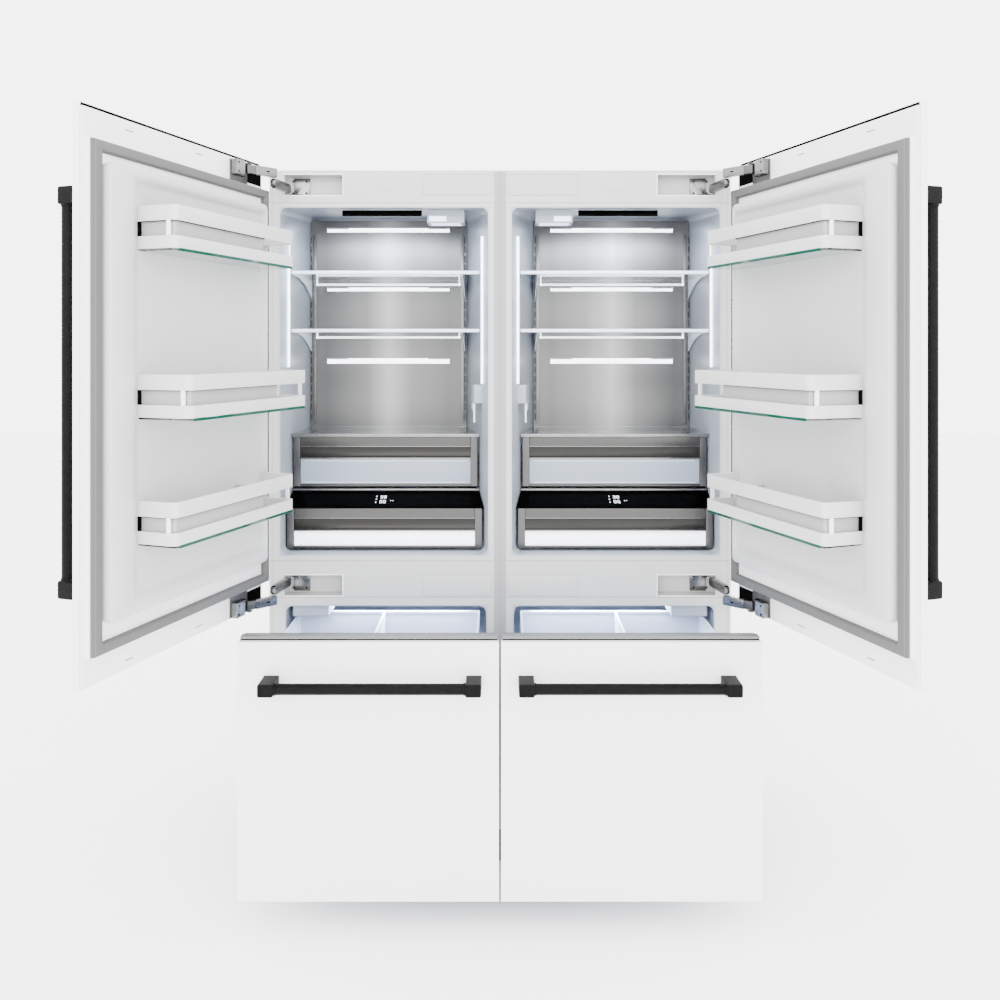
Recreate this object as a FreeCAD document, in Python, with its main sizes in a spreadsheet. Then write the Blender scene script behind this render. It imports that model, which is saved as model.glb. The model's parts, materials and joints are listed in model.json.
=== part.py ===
import FreeCAD, Part
import Sketcher
import math
import os
import re

# Paired built-in refrigerator: two mirrored column units, each with one hinged door above and one
# freezer drawer below. +X runs to the viewer's right, +Y into the cabinet, +Z up. The origin is on
# the floor, midway between the units, in the plane of the cabinet's face. Every piece of the left
# unit is drawn shut and then posed; the right unit's pieces are its mirror images.

DIMENSIONS = {
    # cabinet
    "unit_width": 732, "cabinet_height": 2186, "cabinet_depth": 610, "base_height": 95,
    "sheet_steel": 2, "frame_depth": 56, "unit_gap": 1, "strip_margin": 10,
    # fresh food compartment
    "fridge_outer": 697, "fridge_inner": 38, "fridge_floor": 965, "fridge_top": 2068,
    "fridge_depth": 500, "fridge_inner_back": 131, "fridge_ceiling_back": 2107,
    "liner_wall": 3, "liner_radius": 22, "foam_gap": 2,
    # freezer compartment
    "freezer_outer": 679, "freezer_inner": 44, "freezer_floor": 150, "freezer_top": 804,
    "freezer_depth": 420, "machine_top": 330, "bulkhead_thick": 26,
    # toe board, feet and machinery
    "toe_inset": 6, "toe_gap": 3, "toe_half": 6,
    "foot_radius": 22, "foot_tall": 12, "stem_radius": 7,
    "foot_outer": 690, "foot_inner": 60, "foot_front": 60, "foot_rear": 560,
    "machine_behind": 78, "can_radius": 68, "can_tall": 150, "can_centre": 560,
    "mount_half": 80, "mount_reach": 60, "mount_tall": 20,
    "condenser_outer": 440, "condenser_inner": 150, "condenser_tall": 170,
    "inlet_outer": 700, "inlet_wide": 42, "inlet_deep": 24, "inlet_low": 262, "inlet_tall": 30,
    "cold_gap": 8, "evaporator_outer": 600, "evaporator_inner": 240,
    "evaporator_low": 1180, "evaporator_high": 1420, "evaporator_margin": 6,
    "fan_centre": 420, "fan_height": 1560, "fan_radius": 60, "fan_deep": 30,
    # hinge pockets and linkage
    "pocket_outer": 684, "pocket_inner": 500, "pocket_deep": 50, "pocket_tall": 66,
    "hinge_high": 2140, "hinge_low": 869,
    "arm_width": 16, "arm_tall": 28, "arm_gap": 1, "arm_play": 0.5, "lug_thick": 3,
    "pin_radius": 4, "pin_clearance": 0.06,
    "plate_outer": 664, "plate_inner": 612, "plate_thick": 5,
    "cup_outer": 648, "cup_inner": 565, "cup_thick": 4, "ear_half": 8, "ear_plane": 10,
    # door in its shut place
    "door_low": 831, "door_high": 2190, "door_outer": 731, "door_free": 3,
    "front_plane": 60, "panel_thick": 18.5, "flange_plane": 33.5, "seal_plane": 15,
    "flange_inset": 3, "flange_drop": 11, "box_low": 905, "box_high": 2107,
    "gasket_width": 28, "gasket_gap": 0.5, "gasket_inset": 6, "gasket_drop": 3,
    "swing_x": -749, "swing_y": -55.4, "swing_open": 108.1,
    # door liner
    "plug_low": 978, "plug_high": 2055, "plug_outer": 692, "plug_inner": 42,
    "plug_floor": 4, "rib_height": 22, "rib_shoulder": 8, "rib_inner": 50, "rib_outer": 114,
    "rib_foot": 136, "lip_height": 16, "lip_shoulder": 12, "lip_inner": 690, "lip_outer": 681,
    "lip_foot": 678,
    # door bins
    "bin_near": 139, "bin_far": 672, "bin_back": 4, "bin_front": 118, "bin_front_deep": 160,
    "bin_wall": 8, "bin_upper_rail": 38, "bin_rail_gap": 36, "bin_lower_rail": 31,
    "bin_glass": 5, "bin_top": 1861, "bin_middle": 1452, "bin_bottom": 1145,
    # bar handles
    "bar_radius": 15, "bar_standoff": 55, "post_long": 43, "post_wide": 35, "post_cover": 3,
    "handle_inset": 45, "door_bar_low": 1028, "door_bar_high": 2003,
    "drawer_bar_outer": 657, "drawer_bar_inner": 51, "drawer_bar_height": 694,
    # freezer drawer in its shut place
    "drawer_low": 82, "drawer_high": 803, "drawer_box_high": 814, "drawer_pull": 285,
    "drawer_seal_low": 124, "drawer_seal_drop": 1, "drawer_seal_outer": 8,
    "drawer_seal_width": 24,
    "basket_outer": 657, "basket_inner": 66, "basket_low": 190, "basket_high": 755,
    "basket_back": 395, "divider_x": 380, "plastic_wall": 3,
    "runner_low": 415, "runner_high": 465, "runner_front": 15, "runner_back": 405,
    "runner_thick": 10, "member_thick": 11, "member_inset": 6,
    "ice_outer": 665, "ice_inner": 549, "ice_front": 30, "ice_back": 170, "ice_low": 761,
    "ice_drop": 2,
    # shelves
    "duct_plane": 440, "duct_thick": 4, "duct_side": 3, "duct_margin": 12,
    "shelf_front": 140, "shelf_glass_thick": 5, "shelf_side": 4, "shelf_back_gap": 2,
    "shelf_upper": 1872, "shelf_lower": 1679, "cover_height": 1331,
    "rail_front": 12, "rail_tall": 11, "rail_drop": 4,
    "bracket_drop": 34, "bracket_thick": 4, "bracket_outer_start": 20,
    "bracket_inner_start": 60, "bracket_inner_gap": 8,
    "ladder_wide": 12, "ladder_deep": 8, "ladder_low": 1350, "ladder_high": 2040,
    "ladder_outer_gap": 12, "ladder_inner_gap": 24, "notch_play": 1,
    "deck_height": 1146, "deck_thick": 6,
    # lamps
    "slot_margin": 62, "lens_thick": 5, "strip_front": 96, "outer_strip_back": 108,
    "inner_strip_back": 110, "outer_strip_low": 1560, "inner_strip_low": 1505,
    "strip_high": 1990,
    "block_outer": 238, "block_inner": 117, "block_front": 84, "block_back": 160,
    "block_drop": 36, "block_sunk": 6,
    "label_outer": 516, "label_inner": 256, "label_back": 92, "label_drop": 14,
    "label_sunk": 5,
    # crispers and controls
    "upper_front_y": 150, "upper_low": 1160, "upper_high": 1325, "upper_rim_drop": 14,
    "lower_front_y": 60, "lower_low": 973, "lower_high": 1102, "lower_rim_drop": 18,
    "crisper_front": 18, "crisper_post": 23, "crisper_back": 425, "crisper_side": 6,
    "crisper_band": 33, "grip_tall": 36, "grip_deep": 11, "window_gap": 4, "window_sill": 8,
    "tub_side": 10, "tub_back_side": 14, "tub_lift": 2,
    "control_thick": 3, "control_low": 1106, "control_high": 1146, "control_side": 4,
    # water dispenser
    "dispenser_front": 112, "dispenser_back": 175, "dispenser_low": 1440,
    "dispenser_high": 1500, "dispenser_out": 26, "dispenser_middle": 140,
    "spout_radius": 6, "spout_long": 26, "spout_low": 1416, "spout_out": 22,
    "paddle_outer": 24, "paddle_inner": 18, "paddle_front": 118, "paddle_back": 132,
    "paddle_low": 1376, "paddle_high": 1438,
}

# Inside face of the slanted wall beside the joint between the units, as a fraction of the depth
WALL_SLOPE = "(fridge_inner_back - fridge_inner) / fridge_depth"

document = FreeCAD.newDocument("Refrigerator")
sheet = document.addObject("Spreadsheet::Sheet", "dims")
for row, (alias, size) in enumerate(DIMENSIONS.items(), start=1):
    sheet.set(f"A{row}", alias)
    sheet.set(f"B{row}", str(size))
    sheet.setAlias(f"B{row}", alias)
document.recompute()

nodes = {}


def size(alias):
    return float(sheet.get(alias))


def bound(expression):
    """The expression with each dimension's name pointing at the sheet."""
    def named(match):
        word = match.group()
        return f"dims.{word}" if word in DIMENSIONS else word
    return re.sub(r"[A-Za-z_]\w*", named, str(expression))


def place(item, x=0, y=0, z=0):
    for axis, value in zip("xyz", (x, y, z)):
        item.setExpression(f"Placement.Base.{axis}", bound(value))
    return item


def box(name, x, y, z):
    """A block between two planes along each axis, each plane an expression."""
    item = document.addObject("Part::Box", name)
    for side, (low, high) in zip(("Length", "Width", "Height"), (x, y, z)):
        item.setExpression(side, bound(f"({high}) - ({low})"))
    return place(item, x[0], y[0], z[0])


def wedge(name, y, front_x, front_z, back_x, back_z):
    """A block whose front and back rectangles differ."""
    item = document.addObject("Part::Wedge", name)
    corners = {
        "Ymin": y[0], "Ymax": y[1], "Xmin": front_x[0], "Xmax": front_x[1],
        "Zmin": front_z[0], "Zmax": front_z[1], "X2min": back_x[0], "X2max": back_x[1],
        "Z2min": back_z[0], "Z2max": back_z[1],
    }
    # a wedge refuses a size that is reversed for a moment, so the plain numbers go in first
    item.Xmin, item.Xmax, item.X2min, item.X2max = -5000, 5000, -5000, 5000
    item.Zmin, item.Zmax, item.Z2min, item.Z2max = -5000, 5000, -5000, 5000
    item.Ymin, item.Ymax = -5000, 5000
    for name_of_side, value in corners.items():
        item.setExpression(name_of_side, bound(value))
    return item


def rod(name, radius, length, start, axis="z"):
    item = document.addObject("Part::Cylinder", name)
    item.setExpression("Radius", bound(radius))
    item.setExpression("Height", bound(length))
    turns = {
        "x": FreeCAD.Rotation(FreeCAD.Vector(0, 1, 0), 90),
        "y": FreeCAD.Rotation(FreeCAD.Vector(1, 0, 0), -90),
        "z": FreeCAD.Rotation(),
    }
    item.Placement.Rotation = turns[axis]
    return place(item, *start)


def fuse(name, pieces):
    item = document.addObject("Part::MultiFuse", name)
    item.Shapes = pieces
    item.Refine = True
    return item


def cut(name, base, tools):
    item = document.addObject("Part::Cut", name)
    item.Base = base
    item.Tool = tools[0] if len(tools) == 1 else fuse(f"{name}_tool", tools)
    return item


def rounded(name, base, radius, along):
    """The base with every straight edge that runs mainly along one axis rounded."""
    document.recompute()
    wanted = []
    for index, edge in enumerate(base.Shape.Edges, start=1):
        first, last = edge.firstVertex().Point, edge.lastVertex().Point
        run = last - first
        if run.Length > 1 and abs(getattr(run, along)) / run.Length > 0.95:
            wanted.append((index, size(radius), size(radius)))
    item = document.addObject("Part::Fillet", name)
    item.Base = base
    item.Edges = wanted
    return item


def outline(body, name, plane, loops):
    """A sketch of closed straight-sided loops; every corner is bound to the sheet."""
    sketch = body.newObject("Sketcher::SketchObject", name)
    face = next(f for f in body.Origin.OriginFeatures if f.Role == plane)
    sketch.AttachmentSupport = (face, [""])
    sketch.MapMode = "FlatFace"
    spacing = 10.0
    for number, loop in enumerate(loops):
        count = len(loop)
        start = len(sketch.Geometry)
        centre = 100.0 * number
        corners = [
            FreeCAD.Vector(
                centre + spacing * math.cos(2 * math.pi * k / count),
                spacing * math.sin(2 * math.pi * k / count), 0)
            for k in range(count)
        ]
        for k in range(count):
            sketch.addGeometry(Part.LineSegment(corners[k], corners[(k + 1) % count]), False)
        for k in range(count):
            following = start + (k + 1) % count
            sketch.addConstraint(Sketcher.Constraint("Coincident", start + k, 2, following, 1))
        for k, (across, up) in enumerate(loop):
            for kind, value, now in (
                ("DistanceX", across, corners[k].x), ("DistanceY", up, corners[k].y)
            ):
                index = sketch.addConstraint(Sketcher.Constraint(kind, start + k, 1, now))
                sketch.renameConstraint(index, f"{kind}{number}_{k}")
                sketch.setExpression(f"Constraints.{kind}{number}_{k}", bound(value))
    return sketch


def rectangle(x, z):
    return [(x[0], z[0]), (x[1], z[0]), (x[1], z[1]), (x[0], z[1])]


def board(name, x, z, y, thick, windows=(), recesses=()):
    """An upright board facing the viewer, with windows cut through and recesses in its front."""
    body = document.addObject("PartDesign::Body", name)
    pad = body.newObject("PartDesign::Pad", f"{name}_pad")
    pad.Profile = outline(body, f"{name}_outline", "XZ_Plane", [rectangle(x, z)])
    pad.setExpression("Length", bound(thick))
    pad.Reversed = True
    if windows:
        opening = body.newObject("PartDesign::Pocket", f"{name}_windows")
        opening.Profile = outline(
            body, f"{name}_window_outline", "XZ_Plane", [rectangle(*w) for w in windows])
        opening.setExpression("Length", bound(f"({thick}) * 2"))
    for number, (across, up, deep) in enumerate(recesses):
        recess = body.newObject("PartDesign::Pocket", f"{name}_recess{number}")
        recess.Profile = outline(
            body, f"{name}_recess_outline{number}", "XZ_Plane", [rectangle(across, up)])
        recess.setExpression("Length", bound(deep))
    return place(body, 0, y, 0)


def slab(name, corners, z, thick, tilt=0.0):
    """A flat plate on a plan outline, lifted to z and tilted about its front edge."""
    body = document.addObject("PartDesign::Body", name)
    pad = body.newObject("PartDesign::Pad", f"{name}_pad")
    pad.Profile = outline(body, f"{name}_outline", "XY_Plane", [corners])
    pad.setExpression("Length", bound(thick))
    body.Placement.Rotation = FreeCAD.Rotation(FreeCAD.Vector(1, 0, 0), tilt)
    return place(body, 0, 0, z)


def link(name, start, end, z, height, holes):
    """A flat bar with round ends between two points of the plan, with a hole at each given point."""
    along = FreeCAD.Vector(end[0] - start[0], end[1] - start[1], 0)
    angle = math.degrees(math.atan2(along.y, along.x))
    middle = document.addObject("Part::Box", f"{name}_middle")
    middle.Length = along.Length
    middle.setExpression("Width", bound("arm_width"))
    middle.setExpression("Height", bound(height))
    side = FreeCAD.Rotation(FreeCAD.Vector(0, 0, 1), angle)
    corner = FreeCAD.Vector(*start, 0) - side.multVec(FreeCAD.Vector(0, size("arm_width") / 2, 0))
    middle.Placement = FreeCAD.Placement(corner, side)
    middle.setExpression("Placement.Base.z", bound(z))
    ends = [
        rod(f"{name}_end{k}", "arm_width / 2", height, (point[0], point[1], z))
        for k, point in enumerate((start, end))
    ]
    bar = fuse(f"{name}_bar", [middle] + ends)
    if not holes:
        return bar
    drills = [
        rod(f"{name}_hole{k}", "pin_radius + pin_clearance", f"({height}) + 2",
            (point[0], point[1], f"({z}) - 1"))
        for k, point in enumerate(holes)
    ]
    return cut(name, bar, drills)


def node(label, pieces, pose=None, mirrored=False):
    """Groups finished pieces as one sub-part; a mirrored one also gets its twin on the right."""
    group = document.addObject("Part::Compound", label)
    group.Links = pieces
    group.Label = label
    if pose:
        group.Placement = pose
    nodes[label] = group
    if mirrored:
        twin_label = label.replace("left_", "right_", 1)
        nodes[twin_label] = mirror(twin_label, group)
    return group


def mirror(label, source):
    twin = document.addObject("Part::Mirroring", label)
    twin.Source = source
    twin.Normal = FreeCAD.Vector(1, 0, 0)
    twin.Label = label
    return twin


def pair(label, pieces):
    """One sub-part holding the left unit's pieces and their mirror images."""
    left = document.addObject("Part::Compound", f"{label}_left")
    left.Links = pieces
    node(label, [left, mirror(f"{label}_right", left)])


# --- poses ---------------------------------------------------------------------------------------

PIVOT = FreeCAD.Vector(size("swing_x"), size("swing_y"), 0)


def turned(centre, angle):
    """A turn about an upright axis through a point."""
    return FreeCAD.Placement(
        FreeCAD.Vector(), FreeCAD.Rotation(FreeCAD.Vector(0, 0, 1), angle), centre)


DOOR_POSE = turned(PIVOT, -size("swing_open"))
DRAWER_POSE = FreeCAD.Placement(FreeCAD.Vector(0, -size("drawer_pull"), 0), FreeCAD.Rotation())


# --- hinge linkage -------------------------------------------------------------------------------

CABINET_PIN = (-670.0, -10.0)
LUG_ROOT = (-652.0, 41.0)
DOOR_PIN = (-640.0, -20.0)
CABINET_ARM = 103.0
DOOR_ARM = 84.0


def elbow(first, second):
    """The middle pivot of the two arms, on the left of the line between their outer pivots."""
    run_x, run_y = second[0] - first[0], second[1] - first[1]
    reach = math.hypot(run_x, run_y)
    along = (CABINET_ARM ** 2 - DOOR_ARM ** 2 + reach ** 2) / (2 * reach)
    aside = math.sqrt(CABINET_ARM ** 2 - along ** 2)
    unit_x, unit_y = run_x / reach, run_y / reach
    return (first[0] + along * unit_x - aside * unit_y, first[1] + along * unit_y + aside * unit_x)


def moved(pose, point):
    result = pose.multVec(FreeCAD.Vector(point[0], point[1], 0))
    return (result.x, result.y)


def heading(start, end):
    return math.degrees(math.atan2(end[1] - start[1], end[0] - start[0]))


OPEN_DOOR_PIN = moved(DOOR_POSE, DOOR_PIN)
SHUT_ELBOW = elbow(CABINET_PIN, DOOR_PIN)
OPEN_ELBOW = elbow(CABINET_PIN, OPEN_DOOR_PIN)
HINGE_LEVELS = {"upper": "hinge_high", "lower": "hinge_low"}


def layer(level, start, thick):
    """Underside and top of a layer counted from a hinge's mid height, away from the doorway."""
    height = HINGE_LEVELS[level]
    if level == "upper":
        return (f"{height} + {start}", f"{height} + {start} + {thick}")
    return (f"{height} - ({start}) - ({thick})", f"{height} - ({start})")


DOOR_ARM_START = "arm_gap"
CABINET_ARM_START = "-arm_gap - arm_tall"
EAR_START = "arm_gap + arm_tall + arm_play"
LUG_START = "-arm_gap - arm_tall - arm_play - lug_thick"
PIN_LONG = "arm_tall + arm_play + lug_thick"


def arm(name, level, start, first, last):
    low, _ = layer(level, start, "arm_tall")
    return link(f"{level}_{name}", first, last, low, "arm_tall", [first])


def cabinet_plate(level):
    """Back plate in the pocket with a lug that holds the fixed pin."""
    lug, _ = layer(level, LUG_START, "lug_thick")
    pin, _ = layer(level, LUG_START, PIN_LONG)
    plate = box(
        f"{level}_plate", ("-plate_outer", "-plate_inner"),
        ("pocket_deep - plate_thick", "pocket_deep"),
        layer(level, LUG_START, "2 * arm_tall + 2 * arm_gap + arm_play + lug_thick"))
    return fuse(f"{level}_hinge_plate", [
        plate, link(f"{level}_lug", LUG_ROOT, CABINET_PIN, lug, "lug_thick", []),
        rod(f"{level}_cabinet_pin", "pin_radius", PIN_LONG, (*CABINET_PIN, pin))])


def door_cup(level):
    """Plate screwed to the door's flange, with an ear that holds the door's pin."""
    pin, _ = layer(level, DOOR_ARM_START, PIN_LONG)
    plate = box(
        f"{level}_cup", ("-cup_outer", "-cup_inner"), ("-flange_plane", "-flange_plane + cup_thick"),
        layer(level, CABINET_ARM_START, "2 * arm_tall + 2 * arm_gap + arm_play + lug_thick"))
    ear = box(
        f"{level}_ear", (f"{DOOR_PIN[0]} - ear_half", f"{DOOR_PIN[0]} + ear_half"),
        ("-flange_plane", "-ear_plane"), layer(level, EAR_START, "lug_thick"))
    return fuse(f"{level}_hinge_cup", [
        plate, ear, rod(f"{level}_door_pin", "pin_radius", PIN_LONG, (*DOOR_PIN, pin))])


def hinges():
    pair("hinge_plates", [cabinet_plate(level) for level in HINGE_LEVELS])
    node("left_cabinet_arms", [
        arm("cabinet_arm", level, CABINET_ARM_START, CABINET_PIN, OPEN_ELBOW)
        for level in HINGE_LEVELS], mirrored=True)
    node("left_door_arms", [
        arm("door_arm", level, DOOR_ARM_START, OPEN_DOOR_PIN, OPEN_ELBOW)
        for level in HINGE_LEVELS], mirrored=True)
    node("left_door_hinge_cups", [door_cup(level) for level in HINGE_LEVELS],
         DOOR_POSE, mirrored=True)


# --- cabinet -------------------------------------------------------------------------------------

def cabinets():
    outer, inner = "-unit_width", "-unit_gap"
    rear = ("frame_depth", "cabinet_depth")
    tall = ("base_height", "cabinet_height")
    pair("casings", [
        box("outer_side", (outer, f"{outer} + sheet_steel"), rear, tall),
        box("inner_side", (f"{inner} - sheet_steel", inner), rear, tall),
        box("top_sheet", (f"{outer} + sheet_steel", f"{inner} - sheet_steel"), rear,
            ("cabinet_height - sheet_steel", "cabinet_height")),
        box("bottom_pan", (f"{outer} + sheet_steel", f"{inner} - sheet_steel"), rear,
            ("base_height", "base_height + sheet_steel")),
        box("back_sheet", (f"{outer} + sheet_steel", f"{inner} - sheet_steel"),
            ("cabinet_depth - sheet_steel", "cabinet_depth"),
            ("machine_top", "cabinet_height - sheet_steel")),
    ])
    stile = ("0", "frame_depth")
    fridge_left, fridge_right = "-fridge_outer - liner_wall", "-fridge_inner + liner_wall"
    freezer_left, freezer_right = "-freezer_outer - liner_wall", "-freezer_inner + liner_wall"
    upper = ("fridge_floor - liner_wall", "fridge_top + liner_wall")
    lower = ("freezer_floor - liner_wall", "freezer_top + liner_wall")
    header = pocketed("header", (upper[1], "cabinet_height"), "hinge_high")
    pair("face_frames", [
        cut("header_over_liner", header, [fridge_shell("header_liner")]),
        pocketed("mid_rail", (lower[1], upper[0]), "hinge_low"),
        box("bottom_rail", (outer, inner), stile, ("base_height", lower[0])),
        box("upper_outer_stile", (outer, fridge_left), stile, upper),
        box("upper_inner_stile", (fridge_right, inner), stile, upper),
        box("lower_outer_stile", (outer, freezer_left), stile, lower),
        box("lower_inner_stile", (freezer_right, inner), stile, lower),
    ])
    node("joining_strip", [box(
        "joining_bar", ("-unit_gap", "unit_gap"), ("unit_gap", "cabinet_depth - strip_margin"),
        tall)])


def pocketed(name, up, height):
    """A rail across one unit's face with a hinge pocket at a height."""
    pocket = (("-pocket_outer", "-pocket_inner"),
              (f"{height} - pocket_tall / 2", f"{height} + pocket_tall / 2"), "pocket_deep")
    return board(name, ("-unit_width", "-unit_gap"), up, 0, "frame_depth", recesses=[pocket])


def fridge_shell(name):
    """Outside of the fresh food liner, whose inner wall and ceiling slant."""
    low = "fridge_floor - liner_wall"
    return wedge(
        name, ("0", "fridge_depth + liner_wall"),
        ("-fridge_outer - liner_wall", "-fridge_inner + liner_wall"),
        (low, "fridge_top + liner_wall"),
        ("-fridge_outer - liner_wall", "-fridge_inner_back + liner_wall"),
        (low, "fridge_ceiling_back + liner_wall"))


def compartments():
    shell = fridge_shell("fridge_shell")
    space = wedge(
        "fridge_space", ("0", "fridge_depth"), ("-fridge_outer", "-fridge_inner"),
        ("fridge_floor", "fridge_top"), ("-fridge_outer", "-fridge_inner_back"),
        ("fridge_floor", "fridge_ceiling_back"))
    pair("fridge_liners", [
        cut("fridge_liner", shell, [rounded("fridge_space_round", space, "liner_radius", "y")])])
    freezer_shell = box(
        "freezer_shell", ("-freezer_outer - liner_wall", "-freezer_inner + liner_wall"),
        ("0", "freezer_depth + liner_wall"),
        ("freezer_floor - liner_wall", "freezer_top + liner_wall"))
    freezer_space = box(
        "freezer_space", ("-freezer_outer", "-freezer_inner"), ("0", "freezer_depth"),
        ("freezer_floor", "freezer_top"))
    pair("freezer_liners", [cut(
        "freezer_liner", freezer_shell,
        [rounded("freezer_space_round", freezer_space, "liner_radius", "y")])])
    left, right = "-unit_width + sheet_steel", "-unit_gap - sheet_steel"
    front = "frame_depth"
    liner_back = "fridge_depth + liner_wall"
    freezer_back = "freezer_depth + liner_wall"
    along = f"frame_depth / ({liner_back})"
    at_back = "-fridge_inner_back + liner_wall"
    at_frame = f"-fridge_inner + liner_wall - (fridge_inner_back - fridge_inner) * {along}"
    above_back = "fridge_ceiling_back + liner_wall + foam_gap"
    above_frame = f"fridge_top + liner_wall + foam_gap + (fridge_ceiling_back - fridge_top) * {along}"
    floor, roof = "fridge_floor - liner_wall", "cabinet_height - sheet_steel"
    pan = "base_height + sheet_steel"
    rear = "cabinet_depth - sheet_steel"
    fridge_outside = "-fridge_outer - liner_wall"
    freezer_outside, freezer_inside = "-freezer_outer - liner_wall", "-freezer_inner + liner_wall"
    freezer_ceiling = "freezer_top + liner_wall"
    pair("insulation_blocks", [
        box("foam_outer", (left, fridge_outside), (front, liner_back), (floor, roof)),
        wedge("foam_inner", (front, liner_back), (at_frame, right), (floor, roof),
              (at_back, right), (floor, roof)),
        wedge("foam_top", (front, liner_back), (fridge_outside, at_frame), (above_frame, roof),
              (fridge_outside, at_back), (above_back, roof)),
        box("foam_back", (left, right), (liner_back, rear), (floor, roof)),
        box("foam_middle", (left, right), (front, rear), (freezer_ceiling, floor)),
        box("foam_freezer_outer", (left, freezer_outside), (front, freezer_back),
            (pan, freezer_ceiling)),
        box("foam_freezer_inner", (freezer_inside, right), (front, freezer_back),
            (pan, freezer_ceiling)),
        box("foam_freezer_floor", (freezer_outside, freezer_inside), (front, freezer_back),
            (pan, "freezer_floor - liner_wall")),
        box("foam_freezer_back", (left, right), (freezer_back, rear),
            ("machine_top", freezer_ceiling)),
        box("foam_bulkhead", (left, right), (freezer_back, f"{freezer_back} + bulkhead_thick"),
            (pan, "machine_top")),
    ])


def supports():
    node("plinth", [box(
        "plinth_board", ("-unit_width + toe_inset", "unit_width - toe_inset"),
        ("-toe_half", "toe_half"), ("0", "base_height - toe_gap"))])
    feet = []
    for x in ("foot_outer", "foot_inner"):
        for y in ("foot_front", "foot_rear"):
            pad = rod(f"{x}_{y}_pad", "foot_radius", "foot_tall", (f"-{x}", y, "0"))
            stem = rod(f"{x}_{y}_stem", "stem_radius", "base_height - foot_tall",
                       (f"-{x}", y, "foot_tall"))
            feet.append(fuse(f"{x}_{y}", [pad, stem]))
    pair("levelling_feet", feet)


def machinery():
    """Compressor, condenser and cord inlet at the bottom; evaporator and fan behind the duct."""
    pan = "base_height + sheet_steel"
    bulkhead = "freezer_depth + liner_wall + bulkhead_thick"
    middle = f"{bulkhead} + machine_behind"
    can = rod("compressor_can", "can_radius", "can_tall",
              ("-can_centre", middle, f"{pan} + mount_tall"))
    mount = box(
        "compressor_mount", ("-can_centre - mount_half", "-can_centre + mount_half"),
        (f"{middle} - mount_reach", f"{middle} + mount_reach"), (pan, f"{pan} + mount_tall"))
    condenser = box(
        "condenser", ("-condenser_outer", "-condenser_inner"),
        (f"{middle} - mount_reach", f"{middle} + mount_reach"), (pan, f"{pan} + condenser_tall"))
    inlet = box(
        "cord_inlet", ("-inlet_outer", "-inlet_outer + inlet_wide"),
        (bulkhead, f"{bulkhead} + inlet_deep"), ("inlet_low", "inlet_low + inlet_tall"))
    cold = "duct_plane + duct_thick + cold_gap"
    evaporator = box(
        "evaporator", ("-evaporator_outer", "-evaporator_inner"),
        (cold, "fridge_depth - evaporator_margin"), ("evaporator_low", "evaporator_high"))
    fan = rod("fan_case", "fan_radius", "fan_deep", ("-fan_centre", cold, "fan_height"), "y")
    pair("cooling_sets", [
        fuse("compressor", [can, mount]), condenser, inlet, evaporator, fan])


# --- inside the fresh food compartment ------------------------------------------------------------

SLOT_HEIGHTS = ((2048, 2064), (1832, 1846), (1566, 1586))


def wall_at(y, clearance):
    """Expression for the slanted wall's place at a depth, less a clearance."""
    return f"-fridge_inner - ({WALL_SLOPE}) * ({y}) - ({clearance})"


def tapered(y_front, y_back, clearance):
    """Plan of a plate between the straight outer wall and the slanted inner one."""
    left = f"-fridge_outer + {clearance}"
    return [
        (left, y_front), (wall_at(y_front, clearance), y_front),
        (wall_at(y_back, clearance), y_back), (left, y_back)]


def lighting():
    """Steel duct panel with lit slots, and a lamp strip on each side wall."""
    duct_back = "duct_plane + duct_thick"
    panel_x = ("-fridge_outer + duct_side", wall_at(duct_back, "duct_side"))
    slot_x = ("-fridge_outer + slot_margin", f"{panel_x[1]} - slot_margin")
    slots = [(slot_x, up) for up in SLOT_HEIGHTS]
    ceiling = "fridge_top + (fridge_ceiling_back - fridge_top) * duct_plane / fridge_depth"
    pair("duct_panels", [board(
        "duct_panel", panel_x, ("fridge_floor + duct_margin", f"{ceiling} - duct_margin"),
        "duct_plane", "duct_thick", windows=slots)])
    lamps = [
        box(f"slot_lamp{k}", slot_x, (duct_back, f"{duct_back} + lens_thick"), up)
        for k, up in enumerate(SLOT_HEIGHTS)]
    lamps.append(box(
        "outer_strip", ("-fridge_outer", "-fridge_outer + lens_thick"),
        ("strip_front", "outer_strip_back"), ("outer_strip_low", "strip_high")))
    front_x, back_x = [
        (wall_at(y, "lens_thick"), wall_at(y, "0")) for y in ("strip_front", "inner_strip_back")]
    up = ("inner_strip_low", "strip_high")
    lamps.append(wedge("inner_strip", ("strip_front", "inner_strip_back"), front_x, up, back_x, up))
    pair("lamp_lenses", lamps)


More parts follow.
